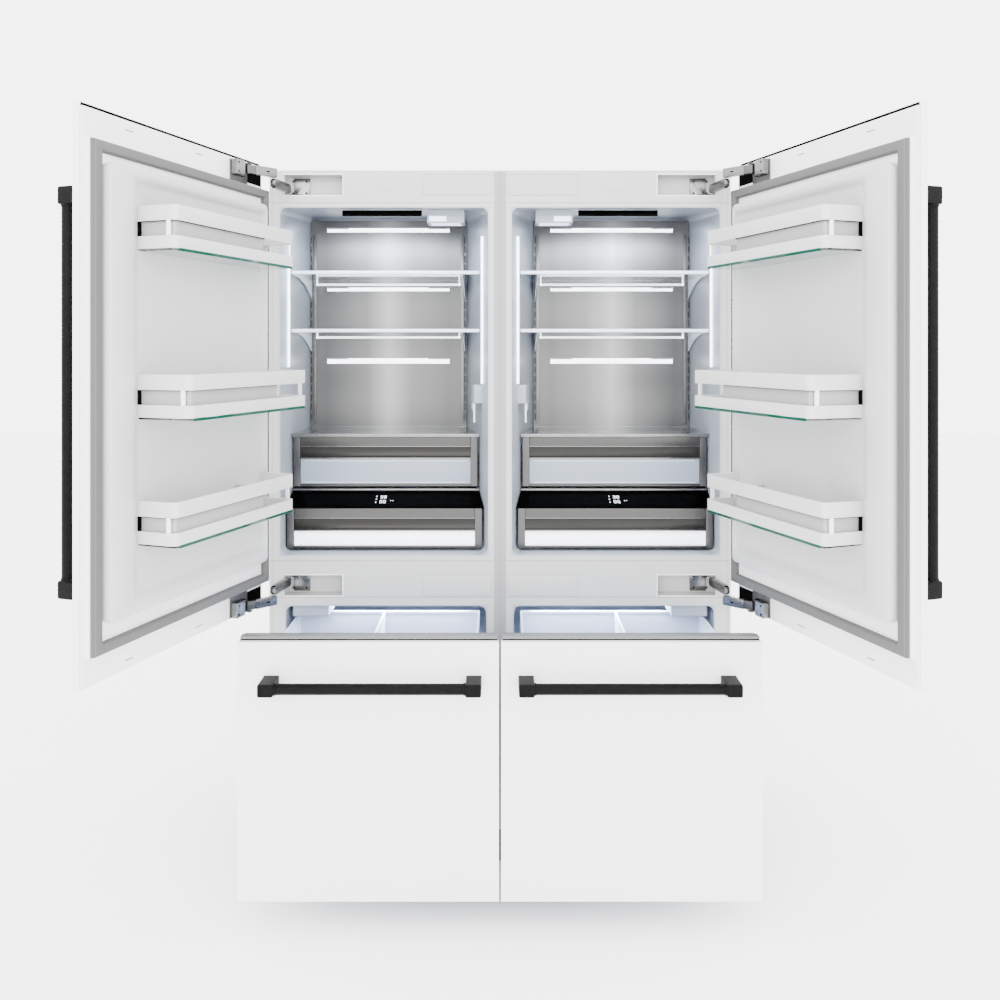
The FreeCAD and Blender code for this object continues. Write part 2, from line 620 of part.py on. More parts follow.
def shelves():
    """Glass shelves with a front rail and side brackets, the crisper deck and two ladder tracks."""
    back = "duct_plane - shelf_back_gap"
    outer = "-fridge_outer + shelf_side"
    pieces, glass = [], {}
    for name in ("shelf_upper", "shelf_lower", "cover_height"):
        glass[name] = slab(
            f"{name}_glass", tapered("shelf_front", back, "shelf_side"), name,
            "shelf_glass_thick")
        pieces.append(box(
            f"{name}_rail", (outer, wall_at("shelf_front", "shelf_side")),
            ("shelf_front - rail_front", "shelf_front"),
            (f"{name} - rail_drop", f"{name} - rail_drop + rail_tall")))
    for name in ("shelf_upper", "shelf_lower"):
        drop = (f"{name} - bracket_drop", name)
        pieces.append(box(
            f"{name}_outer_bracket", (outer, f"{outer} + bracket_thick"),
            ("shelf_front + bracket_outer_start", back), drop))
        pieces.append(box(
            f"{name}_inner_bracket",
            (wall_at(back, "bracket_inner_gap + bracket_thick"), wall_at(back, "bracket_inner_gap")),
            ("shelf_front + bracket_inner_start", back), drop))
    pieces.append(slab(
        "crisper_deck", tapered("upper_front_y", back, "shelf_side"), "deck_height",
        "deck_thick"))
    ladders = ("-fridge_outer + ladder_outer_gap", wall_at("duct_plane", "ladder_inner_gap"))
    for k, x in enumerate(ladders):
        pieces.append(box(
            f"ladder{k}", (x, f"{x} + ladder_wide"), ("duct_plane - ladder_deep", "duct_plane"),
            ("ladder_low", "ladder_high")))
    pair("shelf_frames", pieces)
    notched = [
        cut(f"{name}_notched", glass[name], [
            box(f"{name}_notch{k}", (f"{x} - notch_play", f"{x} + ladder_wide + notch_play"),
                ("duct_plane - ladder_deep - notch_play", "duct_plane"),
                ("ladder_low", "ladder_high"))
            for k, x in enumerate(ladders)])
        for name in ("shelf_upper", "shelf_lower")]
    pair("shelf_glass", notched + [glass["cover_height"]])


def controls():
    """Tilted glass control panel between the two crispers."""
    rise = size("control_high") - size("control_low")
    run = size("upper_front_y") - size("lower_front_y")
    left = "-fridge_outer + control_side"
    far = f"{math.hypot(rise, run):.3f} - control_side"
    panel = slab(
        "control_panel",
        [(left, "0"), (wall_at("lower_front_y", "control_side"), "0"),
         (wall_at("upper_front_y", "control_side"), far), (left, far)],
        "control_low - control_thick", "control_thick", math.degrees(math.atan2(rise, run)))
    panel.setExpression("Placement.Base.y", bound("lower_front_y + control_side"))
    pair("control_panels", [panel])


def housings():
    """Water dispenser on the inner wall, and the lamp block and strip under the ceiling."""
    body = wedge(
        "dispenser_body", ("dispenser_front", "dispenser_back"),
        (wall_at("dispenser_front", "dispenser_out"), wall_at("dispenser_front", "0")),
        ("dispenser_low", "dispenser_high"),
        (wall_at("dispenser_back", "dispenser_out"), wall_at("dispenser_back", "0")),
        ("dispenser_low", "dispenser_high"))
    spout = rod("dispenser_spout", "spout_radius", "spout_long",
                (wall_at("upper_front_y", "spout_out"), "dispenser_middle", "spout_low"))
    lamp_block = box(
        "ceiling_lamp_block", ("-block_outer", "-block_inner"), ("block_front", "block_back"),
        ("fridge_top - block_drop", "fridge_top + block_sunk"))
    label_strip = box(
        "ceiling_strip", ("-label_outer", "-label_inner"), ("block_front", "label_back"),
        ("fridge_top - label_drop", "fridge_top + label_sunk"))
    pair("wall_housings", [fuse("dispenser_housing", [body, spout]), lamp_block, label_strip])
    node("left_dispenser_paddle", [box(
        "paddle",
        (wall_at("dispenser_middle", "paddle_outer"), wall_at("dispenser_middle", "paddle_inner")),
        ("paddle_front", "paddle_back"), ("paddle_low", "paddle_high"))], mirrored=True)


def crispers():
    """Two drawers: a steel front with a grip groove and a window, and a frosted tub."""
    left = "-fridge_outer + crisper_side"
    for name in ("upper", "lower"):
        y, low, high = f"{name}_front_y", f"{name}_low", f"{name}_high"
        front_back = f"{y} + crisper_front"
        right = wall_at(front_back, "crisper_side")
        across = (f"{left} + crisper_post", f"{right} - crisper_post")
        grip_low = f"{high} - crisper_band - grip_tall"
        grip = (across, (grip_low, f"{high} - crisper_band"), "grip_deep")
        window = (across, (f"{low} + window_sill", f"{grip_low} - window_gap"))
        node(f"left_{name}_crisper_front", [board(
            f"{name}_crisper_board", (left, right), (low, high), y, "crisper_front",
            windows=[window], recesses=[grip])], mirrored=True)
        tub_x = (f"{left} + tub_side", wall_at("crisper_back", "tub_back_side"))
        tub_low, rim = f"{low} + tub_lift", f"{high} - {name}_rim_drop"
        outside = box(
            f"{name}_tub_outside", tub_x, (front_back, "crisper_back"), (tub_low, rim))
        inside = box(
            f"{name}_tub_inside",
            (f"{tub_x[0]} + plastic_wall", f"{tub_x[1]} - plastic_wall"),
            (f"{front_back} + plastic_wall", "crisper_back - plastic_wall"),
            (f"{tub_low} + plastic_wall", f"{rim} + 1"))
        node(f"left_{name}_crisper_bin",
             [cut(f"{name}_crisper_tub", outside, [inside])], mirrored=True)


# --- doors ----------------------------------------------------------------------------------------

def ring(name, x, z, y, width):
    outer_block = box(f"{name}_outside", x, y, z)
    hole = box(
        f"{name}_hole", (f"{x[0]} + {width}", f"{x[1]} - {width}"),
        (f"{y[0]} - 1", f"{y[1]} + 1"), (f"{z[0]} + {width}", f"{z[1]} - {width}"))
    return cut(name, outer_block, [hole])


def bar_handle(label, start, end, height_axis, pose):
    """A tubular bar between two block posts that stand on the panel's face."""
    axis_y = "-front_plane - bar_standoff"
    reach = ("-front_plane - bar_standoff - bar_radius - post_cover", "-front_plane")
    half = "post_wide / 2"
    if height_axis == "z":
        x = "-door_free - handle_inset"
        bar = rod(f"{label}_tube", "bar_radius", f"({end}) - ({start})", (x, axis_y, start))
        posts = [
            box(f"{label}_post{k}", (f"{x} - {half}", f"{x} + {half}"), reach,
                (low, f"{low} + post_long"))
            for k, low in enumerate((start, f"{end} - post_long"))]
    else:
        z = "drawer_bar_height"
        bar = rod(f"{label}_tube", "bar_radius", f"({end}) - ({start})", (start, axis_y, z), "x")
        posts = [
            box(f"{label}_post{k}", (low, f"{low} + post_long"), reach,
                (f"{z} - {half}", f"{z} + {half}"))
            for k, low in enumerate((start, f"{end} - post_long"))]
    node(label, [fuse(f"{label}_solid", [bar] + posts)], pose, mirrored=True)


def doors():
    node("left_door_panel", [board(
        "door_panel_board", ("-door_outer", "-door_free"), ("door_low", "door_high"),
        "-front_plane", "panel_thick")], DOOR_POSE, mirrored=True)
    wide = ("-door_outer + flange_inset", "-door_free - flange_inset")
    flange = box("door_flange", wide, ("-front_plane + panel_thick", "-flange_plane"),
                 ("door_low + flange_inset", "door_high - flange_drop"))
    raised = box("door_raised", wide, ("-flange_plane", "-seal_plane"), ("box_low", "box_high"))
    node("left_door_body", [fuse("door_body_solid", [flange, raised])], DOOR_POSE, mirrored=True)
    node("left_door_gasket", [ring(
        "door_gasket_ring", ("-door_outer + gasket_inset", "-door_free - gasket_inset"),
        ("box_low + gasket_drop", "box_high - gasket_drop"), ("-seal_plane", "-gasket_gap"),
        "gasket_width")],
        DOOR_POSE, mirrored=True)
    section = [
        ("-plug_outer", "-seal_plane"), ("-plug_inner", "-seal_plane"),
        ("-plug_inner", "rib_shoulder"), ("-rib_inner", "rib_height"),
        ("-rib_outer", "rib_height"), ("-rib_foot", "plug_floor"), ("-lip_foot", "plug_floor"),
        ("-lip_outer", "lip_height"), ("-lip_inner", "lip_height"),
        ("-plug_outer", "lip_shoulder")]
    plug = slab("door_plug", section, "plug_low", "plug_high - plug_low")
    node("left_door_liner", [plug], DOOR_POSE, mirrored=True)

    frames, floors = [], []
    for name, low, front in (("top", "bin_top", "bin_front"),
                             ("middle", "bin_middle", "bin_front_deep"),
                             ("bottom", "bin_bottom", "bin_front")):
        x = ("-bin_far", "-bin_near")
        for part, start, tall in (
            ("lower", low, "bin_lower_rail"),
            ("upper", f"{low} + bin_lower_rail + bin_rail_gap", "bin_upper_rail"),
        ):
            rail = box(f"{name}_{part}_block", x, ("bin_back", front),
                       (start, f"{start} + {tall}"))
            hollow = box(
                f"{name}_{part}_hollow", (f"{x[0]} + bin_wall", f"{x[1]} - bin_wall"),
                ("bin_back - 1", f"{front} - bin_wall"),
                (f"{start} - 1", f"{start} + {tall} + 1"))
            frames.append(cut(f"{name}_{part}_rail", rail, [hollow]))
        floors.append(box(
            f"{name}_floor", (f"{x[0]} + 3", f"{x[1]} - 3"), ("bin_back", f"{front} - 3"),
            (f"{low} - bin_glass", low)))
    node("left_door_bin_rails", frames, DOOR_POSE, mirrored=True)
    node("left_door_bin_glass", floors, DOOR_POSE, mirrored=True)
    bar_handle("left_door_handle", "door_bar_low", "door_bar_high", "z", DOOR_POSE)


# --- freezer drawers ------------------------------------------------------------------------------

def drawers():
    node("left_drawer_panel", [board(
        "drawer_panel_board", ("-door_outer", "-door_free"), ("drawer_low", "drawer_high"),
        "-front_plane", "panel_thick")], DRAWER_POSE, mirrored=True)
    wide = ("-door_outer + flange_inset", "-door_free - flange_inset")
    node("left_drawer_body", [box(
        "drawer_body_block", wide, ("-front_plane + panel_thick", "-seal_plane"),
        ("drawer_low + flange_inset", "drawer_box_high"))], DRAWER_POSE, mirrored=True)
    node("left_drawer_gasket", [ring(
        "drawer_gasket_ring", ("-door_outer + drawer_seal_outer", "-door_free - gasket_inset"),
        ("drawer_seal_low", "drawer_box_high - drawer_seal_drop"), ("-seal_plane", "-gasket_gap"),
        "drawer_seal_width")], DRAWER_POSE, mirrored=True)

    span_x = ("-basket_outer", "-basket_inner")
    tub = box("basket_outside", span_x, ("-seal_plane", "basket_back"),
              ("basket_low", "basket_high"))
    hollows = [
        box(f"basket_hollow{k}", x, ("-seal_plane + plastic_wall", "basket_back - plastic_wall"),
            ("basket_low + plastic_wall", "basket_high + 1"))
        for k, x in enumerate((
            ("-basket_outer + plastic_wall", "-divider_x - plastic_wall"),
            ("-divider_x + plastic_wall", "-basket_inner - plastic_wall")))
    ]
    node("left_freezer_basket", [cut("basket_tub", tub, hollows)], DRAWER_POSE, mirrored=True)
    member = ("runner_low + member_inset", "runner_high - member_inset")
    node("left_drawer_slides", [
        box("outer_slide", ("-basket_outer - member_thick", "-basket_outer"), ("-seal_plane", "basket_back"),
            member),
        box("inner_slide", ("-basket_inner", "-basket_inner + member_thick"), ("-seal_plane", "basket_back"),
            member),
    ], DRAWER_POSE, mirrored=True)
    run = ("runner_front", "runner_back")
    rise = ("runner_low", "runner_high")
    pair("drawer_runners", [
        box("outer_runner", ("-freezer_outer", "-freezer_outer + runner_thick"), run, rise),
        box("inner_runner", ("-freezer_inner - runner_thick", "-freezer_inner"), run, rise),
    ])
    pair("ice_makers", [box(
        "ice_maker", ("-ice_outer", "-ice_inner"), ("ice_front", "ice_back"),
        ("ice_low", "freezer_top - ice_drop"))])
    bar_handle("left_drawer_handle", "-drawer_bar_outer", "-drawer_bar_inner", "x", DRAWER_POSE)


def write_parts():
    document.recompute()
    failed = [item.Name for item in document.Objects
              if "Invalid" in item.State or "Error" in item.State]
    if failed:
        raise RuntimeError(f"objects failed: {failed}")
    os.makedirs("parts", exist_ok=True)
    for label, item in nodes.items():
        shape = item.Shape
        if shape.isNull() or not shape.isValid() or not shape.Solids:
            raise RuntimeError(f"{label} has no valid solid")
        shape.exportStep(f"parts/{label}.step")


hinges()
cabinets()
compartments()
supports()
machinery()
lighting()
shelves()
controls()
housings()
crispers()
doors()
drawers()
write_parts()

for name, value in (
    ("cabinet pin", CABINET_PIN), ("shut elbow", SHUT_ELBOW), ("open elbow", OPEN_ELBOW),
    ("open door pin", OPEN_DOOR_PIN),
):
    print(name, [round(v, 2) for v in value])
print("cabinet arm turn", round(heading(CABINET_PIN, OPEN_ELBOW)
                                - heading(CABINET_PIN, SHUT_ELBOW), 3))
print("door arm turn", round(heading(OPEN_DOOR_PIN, OPEN_ELBOW)
                             - heading(DOOR_PIN, SHUT_ELBOW), 3))
print(len(nodes), "sub-parts")
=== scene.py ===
import json
import math

import bmesh
import bpy
from mathutils import Matrix, Vector


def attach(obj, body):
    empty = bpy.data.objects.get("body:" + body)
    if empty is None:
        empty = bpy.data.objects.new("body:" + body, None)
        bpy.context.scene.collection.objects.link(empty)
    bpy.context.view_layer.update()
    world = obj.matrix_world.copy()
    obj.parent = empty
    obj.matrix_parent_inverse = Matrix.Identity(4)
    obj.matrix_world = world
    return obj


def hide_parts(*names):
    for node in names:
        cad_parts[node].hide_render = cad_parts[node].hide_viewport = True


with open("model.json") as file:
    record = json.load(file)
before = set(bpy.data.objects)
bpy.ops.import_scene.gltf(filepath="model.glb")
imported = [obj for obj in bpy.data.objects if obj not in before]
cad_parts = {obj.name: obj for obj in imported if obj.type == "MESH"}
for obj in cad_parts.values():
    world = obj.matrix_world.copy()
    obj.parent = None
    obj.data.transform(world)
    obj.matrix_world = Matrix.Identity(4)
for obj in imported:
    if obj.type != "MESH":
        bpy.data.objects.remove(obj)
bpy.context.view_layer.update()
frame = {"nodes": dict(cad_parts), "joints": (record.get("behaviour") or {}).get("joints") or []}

# Looks of the paired built-in refrigerator. Places and sizes are read from the frame, and details
# are set off from them in mm. Pieces of the left unit are built shut, posed as the frame holds
# them, and mirrored for the right unit.

MM = 0.001
SIDES = ("left", "right")


# --- frame readings ---

def joint(name):
    return next(j for j in frame["joints"] if j["name"] == name)


def shut_turn(name):
    """The turn of a hinged body from rest to its lower limit, where it is shut."""
    record = joint(name)
    centre = Vector(record["pos_m"])
    turn = Matrix.Rotation(math.radians(record["range_deg"][0]), 4, Vector(record["axis"]))
    return Matrix.Translation(centre) @ turn @ Matrix.Translation(-centre)


DOOR_SHUT = shut_turn("left_door_swing")
DOOR_REST = DOOR_SHUT.inverted()
DRAWER_REST = Matrix.Translation((0, joint("left_drawer_slide")["range_m"][0], 0))
REST = {"door": DOOR_REST, "freezer_drawer": DRAWER_REST}
STILL = Matrix.Identity(4)
SIDEWAYS = Matrix(((0, 0, 1, 0), (1, 0, 0, 0), (0, 1, 0, 0), (0, 0, 0, 1)))
link = bpy.context.scene.collection.objects.link


def solids(work):
    """The vertices of each separate solid of a mesh in the making."""
    seen = set()
    for start in work.verts:
        if start in seen:
            continue
        stack, group = [start], []
        seen.add(start)
        while stack:
            vert = stack.pop()
            group.append(vert)
            for edge in vert.link_edges:
                other = edge.other_vert(vert)
                if other not in seen:
                    seen.add(other)
                    stack.append(other)
        yield group


def box_of(points):
    """The low and the high corner round some points."""
    return tuple(Vector([pick(p[k] for p in points) for k in range(3)]) for pick in (min, max))


def node_mesh(node, merge):
    """A CAD node's mesh in the making, with its split vertices joined."""
    work = bmesh.new()
    work.from_mesh(frame["nodes"][node].data)
    bmesh.ops.remove_doubles(work, verts=work.verts, dist=merge)
    return work


def islands(node, pose=STILL):
    """The box of each separate solid on the left of a node, in its shut place, lowest first."""
    back = pose.inverted()
    work = node_mesh(node, 1e-5)
    found = [box_of([back @ vert.co for vert in group]) for group in solids(work)]
    work.free()
    left = [b for b in found if b[0].x + b[1].x < MM]
    return sorted(left, key=lambda b: (round(b[0].z, 3), b[0].x))


def shut_box(node, pose=STILL):
    return box_of([corner for box in islands(node, pose) for corner in box])


# --- shared sizes ---

PANEL = shut_box("left_door_panel", DOOR_REST)
BODY = shut_box("left_door_body", DOOR_REST)
GASKET = shut_box("left_door_gasket", DOOR_REST)
LINER = shut_box("left_door_liner", DOOR_REST)
DRAWER_PANEL = shut_box("left_drawer_panel", DRAWER_REST)
DRAWER_BODY = shut_box("left_drawer_body", DRAWER_REST)
DRAWER_GASKET = shut_box("left_drawer_gasket", DRAWER_REST)
CASING = shut_box("casings")
SHEET_INSET = 1.6 * MM
FRAME = shut_box("face_frames")
CAVITY = shut_box("fridge_liners")
FREEZER = shut_box("freezer_liners")
DUCT = shut_box("duct_panels")
CUPS = islands("left_door_hinge_cups", DOOR_REST)
PLATES = islands("hinge_plates")
PLATE_SKEW = 1.75 * MM
HINGE_MIDDLE = {
    level: (box[0].z + box[1].z) / 2 + sign * PLATE_SKEW
    for level, sign, box in (("lower", -1, PLATES[0]), ("upper", 1, PLATES[-1]))}


# --- materials ---

class Look:
    """A material whose colour, roughness and relief come from procedural textures."""

    def __init__(self, name, **sockets):
        self.material = bpy.data.materials.new(name)
        self.material.use_nodes = True
        self.tree = self.material.node_tree
        self.shader = self.tree.nodes["Principled BSDF"]
        self.coords = self.node("ShaderNodeTexCoord").outputs["Object"]
        for label, value in sockets.items():
            socket = self.shader.inputs[label.replace("_", " ")]
            socket.default_value = (*value, 1.0) if isinstance(value, tuple) else value

    def node(self, kind, **values):
        made = self.tree.nodes.new(kind)
        for label, value in values.items():
            if label in made.inputs:
                made.inputs[label].default_value = value
            else:
                setattr(made, label, value)
        return made

    def join(self, start, end):
        self.tree.links.new(start, end)
        return end

    def noise(self, scale, detail=3.0, stretch=(1, 1, 1)):
        mapping = self.node("ShaderNodeMapping")
        mapping.inputs["Scale"].default_value = stretch
        texture = self.node("ShaderNodeTexNoise", Scale=scale, Detail=detail)
        self.join(self.coords, mapping.inputs["Vector"])
        self.join(mapping.outputs["Vector"], texture.inputs["Vector"])
        return texture.outputs["Fac"]

    def cells(self, scale):
        texture = self.node("ShaderNodeTexVoronoi", Scale=scale)
        self.join(self.coords, texture.inputs["Vector"])
        return texture.outputs["Distance"]

    def colours(self, factor, *stops):
        ramp = self.node("ShaderNodeValToRGB")
        spots = ramp.color_ramp.elements
        for number, (place, colour) in enumerate(stops):
            spot = spots[number] if number < 2 else spots.new(place)
            spot.position = place
            spot.color = (*colour, 1.0)
        self.join(factor, ramp.inputs["Fac"])
        self.join(ramp.outputs["Color"], self.shader.inputs["Base Color"])
        return self

    def roughness(self, factor, least, most):
        span = self.node("ShaderNodeMapRange")
        span.inputs["To Min"].default_value = least
        span.inputs["To Max"].default_value = most
        self.join(factor, span.inputs["Value"])
        self.join(span.outputs["Result"], self.shader.inputs["Roughness"])
        return self

    def relief(self, factor, strength, distance):
        bump = self.node("ShaderNodeBump", Strength=strength, Distance=distance)
        self.join(factor, bump.inputs["Height"])
        self.join(bump.outputs["Normal"], self.shader.inputs["Normal"])
        return self

    def value(self, operation, *terms):
        """The result of a math node on sockets and plain numbers."""
        made = self.node("ShaderNodeMath", operation=operation)
        for socket, term in zip(made.inputs, terms):
            if isinstance(term, float):
                socket.default_value = term
            else:
                self.join(term, socket)
        return made.outputs["Value"]

    def finish(self, cloud, shades, grain, rough, peel=None, tint=(1, 1, 1)):
        """Tone, roughness and relief, each over noise of its own scale and detail."""
        self.colours(self.noise(*cloud), *((place, grey(tone, tint)) for place, tone in shades))
        self.roughness(self.noise(*grain), *rough)
        if peel:
            scale, strength, distance = peel
            self.relief(self.noise(scale, 2.0), strength, distance)
        return self


def grey(level, tint=(1, 1, 1)):
    return tuple(level * t for t in tint)


def painted(name, level, rough, tint=(1, 1, 1)):
    """Sprayed paint: a faint cloud in its tone and a fine orange peel."""
    return Look(name).finish(
        (3.0, 4.0), ((0.3, level * 0.985), (0.7, level)),
        (40.0,), (rough - 0.04, rough + 0.05), (900.0, 0.05, 0.0004), tint)


def moulded(name, level, rough, tint=(1, 1, 1)):
    """Moulded plastic: nearly even, with a soft draw to its surface."""
    return Look(name, IOR=1.46).finish(
        (2.2, 2.0), ((0.35, level * 0.975), (0.7, level)),
        (14.0,), (rough - 0.05, rough + 0.06), (90.0, 0.02, 0.0004), tint)


def brushed(name, level, rough, stretch, tint=(1, 1, 1), streaks=0.2):
    """Rolled steel with a grain along one axis."""
    look = Look(name, Metallic=1.0, Anisotropic=0.5)
    grain = look.noise(60.0, 5.0, stretch)
    look.colours(grain, (0.3, grey(level * (1 - streaks), tint)), (0.72, grey(level, tint)))
    look.roughness(grain, rough - 0.06, rough + 0.08)
    look.relief(grain, 0.06, 0.0003)
    return look


def polished(name, level, rough):
    """Smooth metal with a cloudy tone."""
    return Look(name, Metallic=1.0).finish(
        (22.0, 4.0), ((0.35, level * 0.82), (0.7, level)),
        (160.0, 6.0), (rough * 0.6, rough * 1.6), (420.0, 0.02, 0.0003))


def sheen_banded(name):
    """Brushed sheet with a painted sheen: its tone falls off from the middle of each unit to its
    sides.
    """
    look = Look(name, Metallic=1.0, Anisotropic=0.6)
    spread = look.node("ShaderNodeSeparateXYZ")
    look.join(look.coords, spread.inputs["Vector"])
    middle = (DUCT[0].x + DUCT[1].x) / 2
    reach = (DUCT[1].x - DUCT[0].x) / 2
    away = look.value("SUBTRACT", look.value("ABSOLUTE", spread.outputs["X"]), -middle)
    share = look.value("DIVIDE", look.value("ABSOLUTE", away), reach)
    uneven = look.value("MULTIPLY_ADD", look.noise(9.0, 3.0, (1, 1, 0.02)), 0.22, share)
    look.colours(uneven, (0.12, grey(0.26)), (0.42, grey(0.14)), (0.9, grey(0.10)),
                 (1.0, grey(0.11)))
    fine = look.noise(70.0, 5.0, (34, 34, 1))
    look.roughness(fine, 0.28, 0.42)
    look.relief(fine, 0.05, 0.0003)
    return look


def glowing(name, colour, strength):
    """A material lit in its own colour: the lens of a lamp, lit digits, and painted light on parts
    that are no lamps.
    """
    look = Look(name, Roughness=0.4, Emission_Strength=strength)
    look.colours(look.noise(9.0, 2.0), (0.3, grey(0.94, colour)), (0.7, colour))
    look.join(look.shader.inputs["Base Color"].links[0].from_socket,
              look.shader.inputs["Emission Color"])
    return look


def clear(name, colour, rough, see_through=1.0):
    """Glass or thin plastic."""
    return Look(name, IOR=1.47, Transmission_Weight=see_through).finish(
        (5.0, 2.0), ((0.3, 0.97), (0.7, 1.0)), (60.0, 5.0), (rough * 0.6, rough * 1.5 + 0.01),
        tint=colour)


COOL = (0.78, 0.86, 1.0)
panel_paint = painted("panel_paint", 0.78, 0.42)
frame_paint = painted("frame_paint", 0.40, 0.40, (0.995, 1.0, 0.985))
strip_paint = painted("strip_paint", 0.24, 0.42)
flange_paint = painted("flange_paint", 0.74, 0.38)
# Painted shade: dark grey for the face grooves, the flange slits and the drawer body, which shows
# only in the shaded gap over the drawer panel.
painted_shade_grey = painted("painted_shade_grey", 0.12, 0.34, (0.99, 0.98, 1.0))
liner_white = moulded("liner_white", 0.46, 0.30)
cavity_white = moulded("cavity_white", 0.36, 0.30, COOL)
bin_white = moulded("bin_white", 0.80, 0.26)
bin_satin = painted("bin_satin", 0.50, 0.30, (1.0, 1.0, 0.985))
shelf_white = moulded("shelf_white", 0.86, 0.24, COOL)
rubber = moulded("gasket_rubber", 0.072, 0.62, (1, 0.995, 0.99))
powder_black = Look("powder_black", IOR=1.13).finish(
    (70.0,), ((0.3, 0.0018), (0.7, 0.0032)), (300.0,), (0.40, 0.55), (1500.0, 0.12, 0.0004))
chrome = brushed("hinge_satin", 0.17, 0.24, (12, 12, 1), (1, 1, 1.01), 0.35)
dark_steel = polished("hinge_dark_steel", 0.02, 0.3)
zinc = polished("zinc_steel", 0.10, 0.34)
# Painted sheen: the duct panels are brightest in the middle of each unit.
duct_steel = sheen_banded("duct_steel")
crisper_steel = brushed("crisper_steel", 0.070, 0.30, (1, 22, 22), (1.0, 0.985, 0.965))
# Painted shade and highlight: the grip's hollow is darkened and its lips brightened, as light and
# shade fall on them.
grip_painted_shade = brushed("grip_painted_shade", 0.026, 0.34, (1, 22, 22), (1.0, 0.99, 0.96))
lip_painted_highlight = brushed("lip_painted_highlight", 0.20, 0.26, (1, 22, 22))
post_steel = brushed("post_steel", 0.085, 0.30, (22, 22, 1), (0.98, 0.97, 1.0))
casing_steel = Look("casing_steel", Metallic=0.85)
casing_steel.colours(casing_steel.cells(55.0), (0.0, grey(0.10)), (0.9, grey(0.17)))
casing_steel.roughness(casing_steel.cells(55.0), 0.34, 0.5)
shelf_glass = clear("shelf_glass", (0.93, 0.985, 0.975), 0.03)
glass_edge = clear("glass_edge", (0.002, 0.05, 0.03), 0.06, 0.05)
frosted = clear("frosted_plastic", (0.78, 0.85, 1.0), 0.45, 0.4)
window_sheet = moulded("window_sheet", 0.36, 0.35, (0.68, 0.79, 1.0))
insert_sheet = moulded("bin_insert", 0.27, 0.22)
black_glass = Look("black_glass", IOR=1.06).finish(
    (6.0,), ((0.3, 0.0003), (0.7, 0.0007)), (18.0, 6.0), (0.10, 0.22))
black_plastic = Look("black_plastic", IOR=1.2).finish(
    (30.0,), ((0.3, 0.010), (0.7, 0.014)), (200.0,), (0.4, 0.6))
# Painted shade: a near-black sheet laid in seams, gaps, slots and pocket edges where shade falls.
gap_shade = Look("shadow_gap", IOR=1.05).finish(
    (20.0,), ((0.3, 0.0010), (0.7, 0.0022)), (60.0,), (0.7, 0.9))
slot_shade = moulded("slot_shade", 0.03, 0.6, (0.75, 0.82, 1.0))
strip_lamp = glowing("strip_lamp", (0.90, 0.93, 1.0), 6.0)
soft_lamp = glowing("soft_lamp", (0.80, 0.86, 1.0), 1.6)
track_steel = polished("track_steel", 0.17, 0.35)
cover_trim = polished("cover_trim", 0.20, 0.3)
# Painted light: the lower crisper window glows, though it is no lamp.
painted_window_light = glowing("painted_window_light", (0.90, 0.93, 1.0), 2.4)
# Painted light: the shelves' rear rails and uprights glow, though they are no lamps, to look lit
# behind the glass.
painted_rail_light = glowing("painted_rail_light", (0.90, 0.94, 1.0), 2.2)
digit_glow = glowing("digit_glow", (0.92, 0.95, 1.0), 2.6)
foam = Look("foam")
foam.colours(foam.cells(160.0), (0.1, (0.62, 0.52, 0.30)), (0.8, (0.78, 0.70, 0.47)))
foam.relief(foam.cells(160.0), 0.5, 0.002)


# --- mesh helpers ---

def face_out(work):
    bmesh.ops.recalc_face_normals(work, faces=work.faces)


def add_block(work, lo, hi):
    """A closed block between two corners, added to a mesh in the making."""
    made = bmesh.ops.create_cube(work, size=1.0)["verts"]
    centre, size = (Vector(lo) + Vector(hi)) / 2, Vector(hi) - Vector(lo)
    for vert in made:
        vert.co = Vector([vert.co[k] * size[k] for k in range(3)]) + centre


def soften(work, radius, segments=2, least=25.0):
    """Rounds every edge sharper than the least angle."""
    sharp = [
        e for e in work.edges
        if len(e.link_faces) == 2 and math.degrees(e.calc_face_angle(0.0)) > least]
    if sharp:
        bmesh.ops.bevel(
            work, geom=sharp, offset=radius, segments=segments, profile=0.6,
            affect="EDGES", clamp_overlap=True)


def block_mesh(boxes, radius, segments=2):
    """A mesh in the making of closed blocks with rounded edges."""
    work = bmesh.new()
    for lo, hi in boxes:
        add_block(work, lo, hi)
    soften(work, radius, segments)
    return work


def bridge(work, ring, following):
    """The faces between two closed rings of vertices."""
    return [
        work.faces.new((ring[k - 1], ring[k], following[k], following[k - 1]))
        for k in (*range(1, len(ring)), 0)]


def add_prism(work, plan, z0, z1):
    """A closed prism on a plan outline."""
    lower = [work.verts.new((x, y, z0)) for x, y in plan]
    upper = [work.verts.new((x, y, z1)) for x, y in plan]
    faces = [work.faces.new(lower[::-1]), work.faces.new(upper), *bridge(work, lower, upper)]
    bmesh.ops.recalc_face_normals(work, faces=faces)


def add_tube(work, start, end, radius, segments=40):
    """A closed round bar between two points."""
    start, end = Vector(start), Vector(end)
    run = end - start
    made = bmesh.ops.create_cone(
        work, cap_ends=True, segments=segments, radius1=radius, radius2=radius,
        depth=run.length)["verts"]
    turn = run.to_track_quat("Z", "Y").to_matrix().to_4x4()
    bmesh.ops.transform(
        work, verts=made, matrix=Matrix.Translation((start + end) / 2) @ turn)


def arc(centre, radius, start, end, steps=8):
    """Points round a centre from one angle to another."""
    angles = [math.radians(start + (end - start) * k / steps) for k in range(steps + 1)]
    return [(centre[0] + radius * math.cos(a), centre[1] + radius * math.sin(a)) for a in angles]


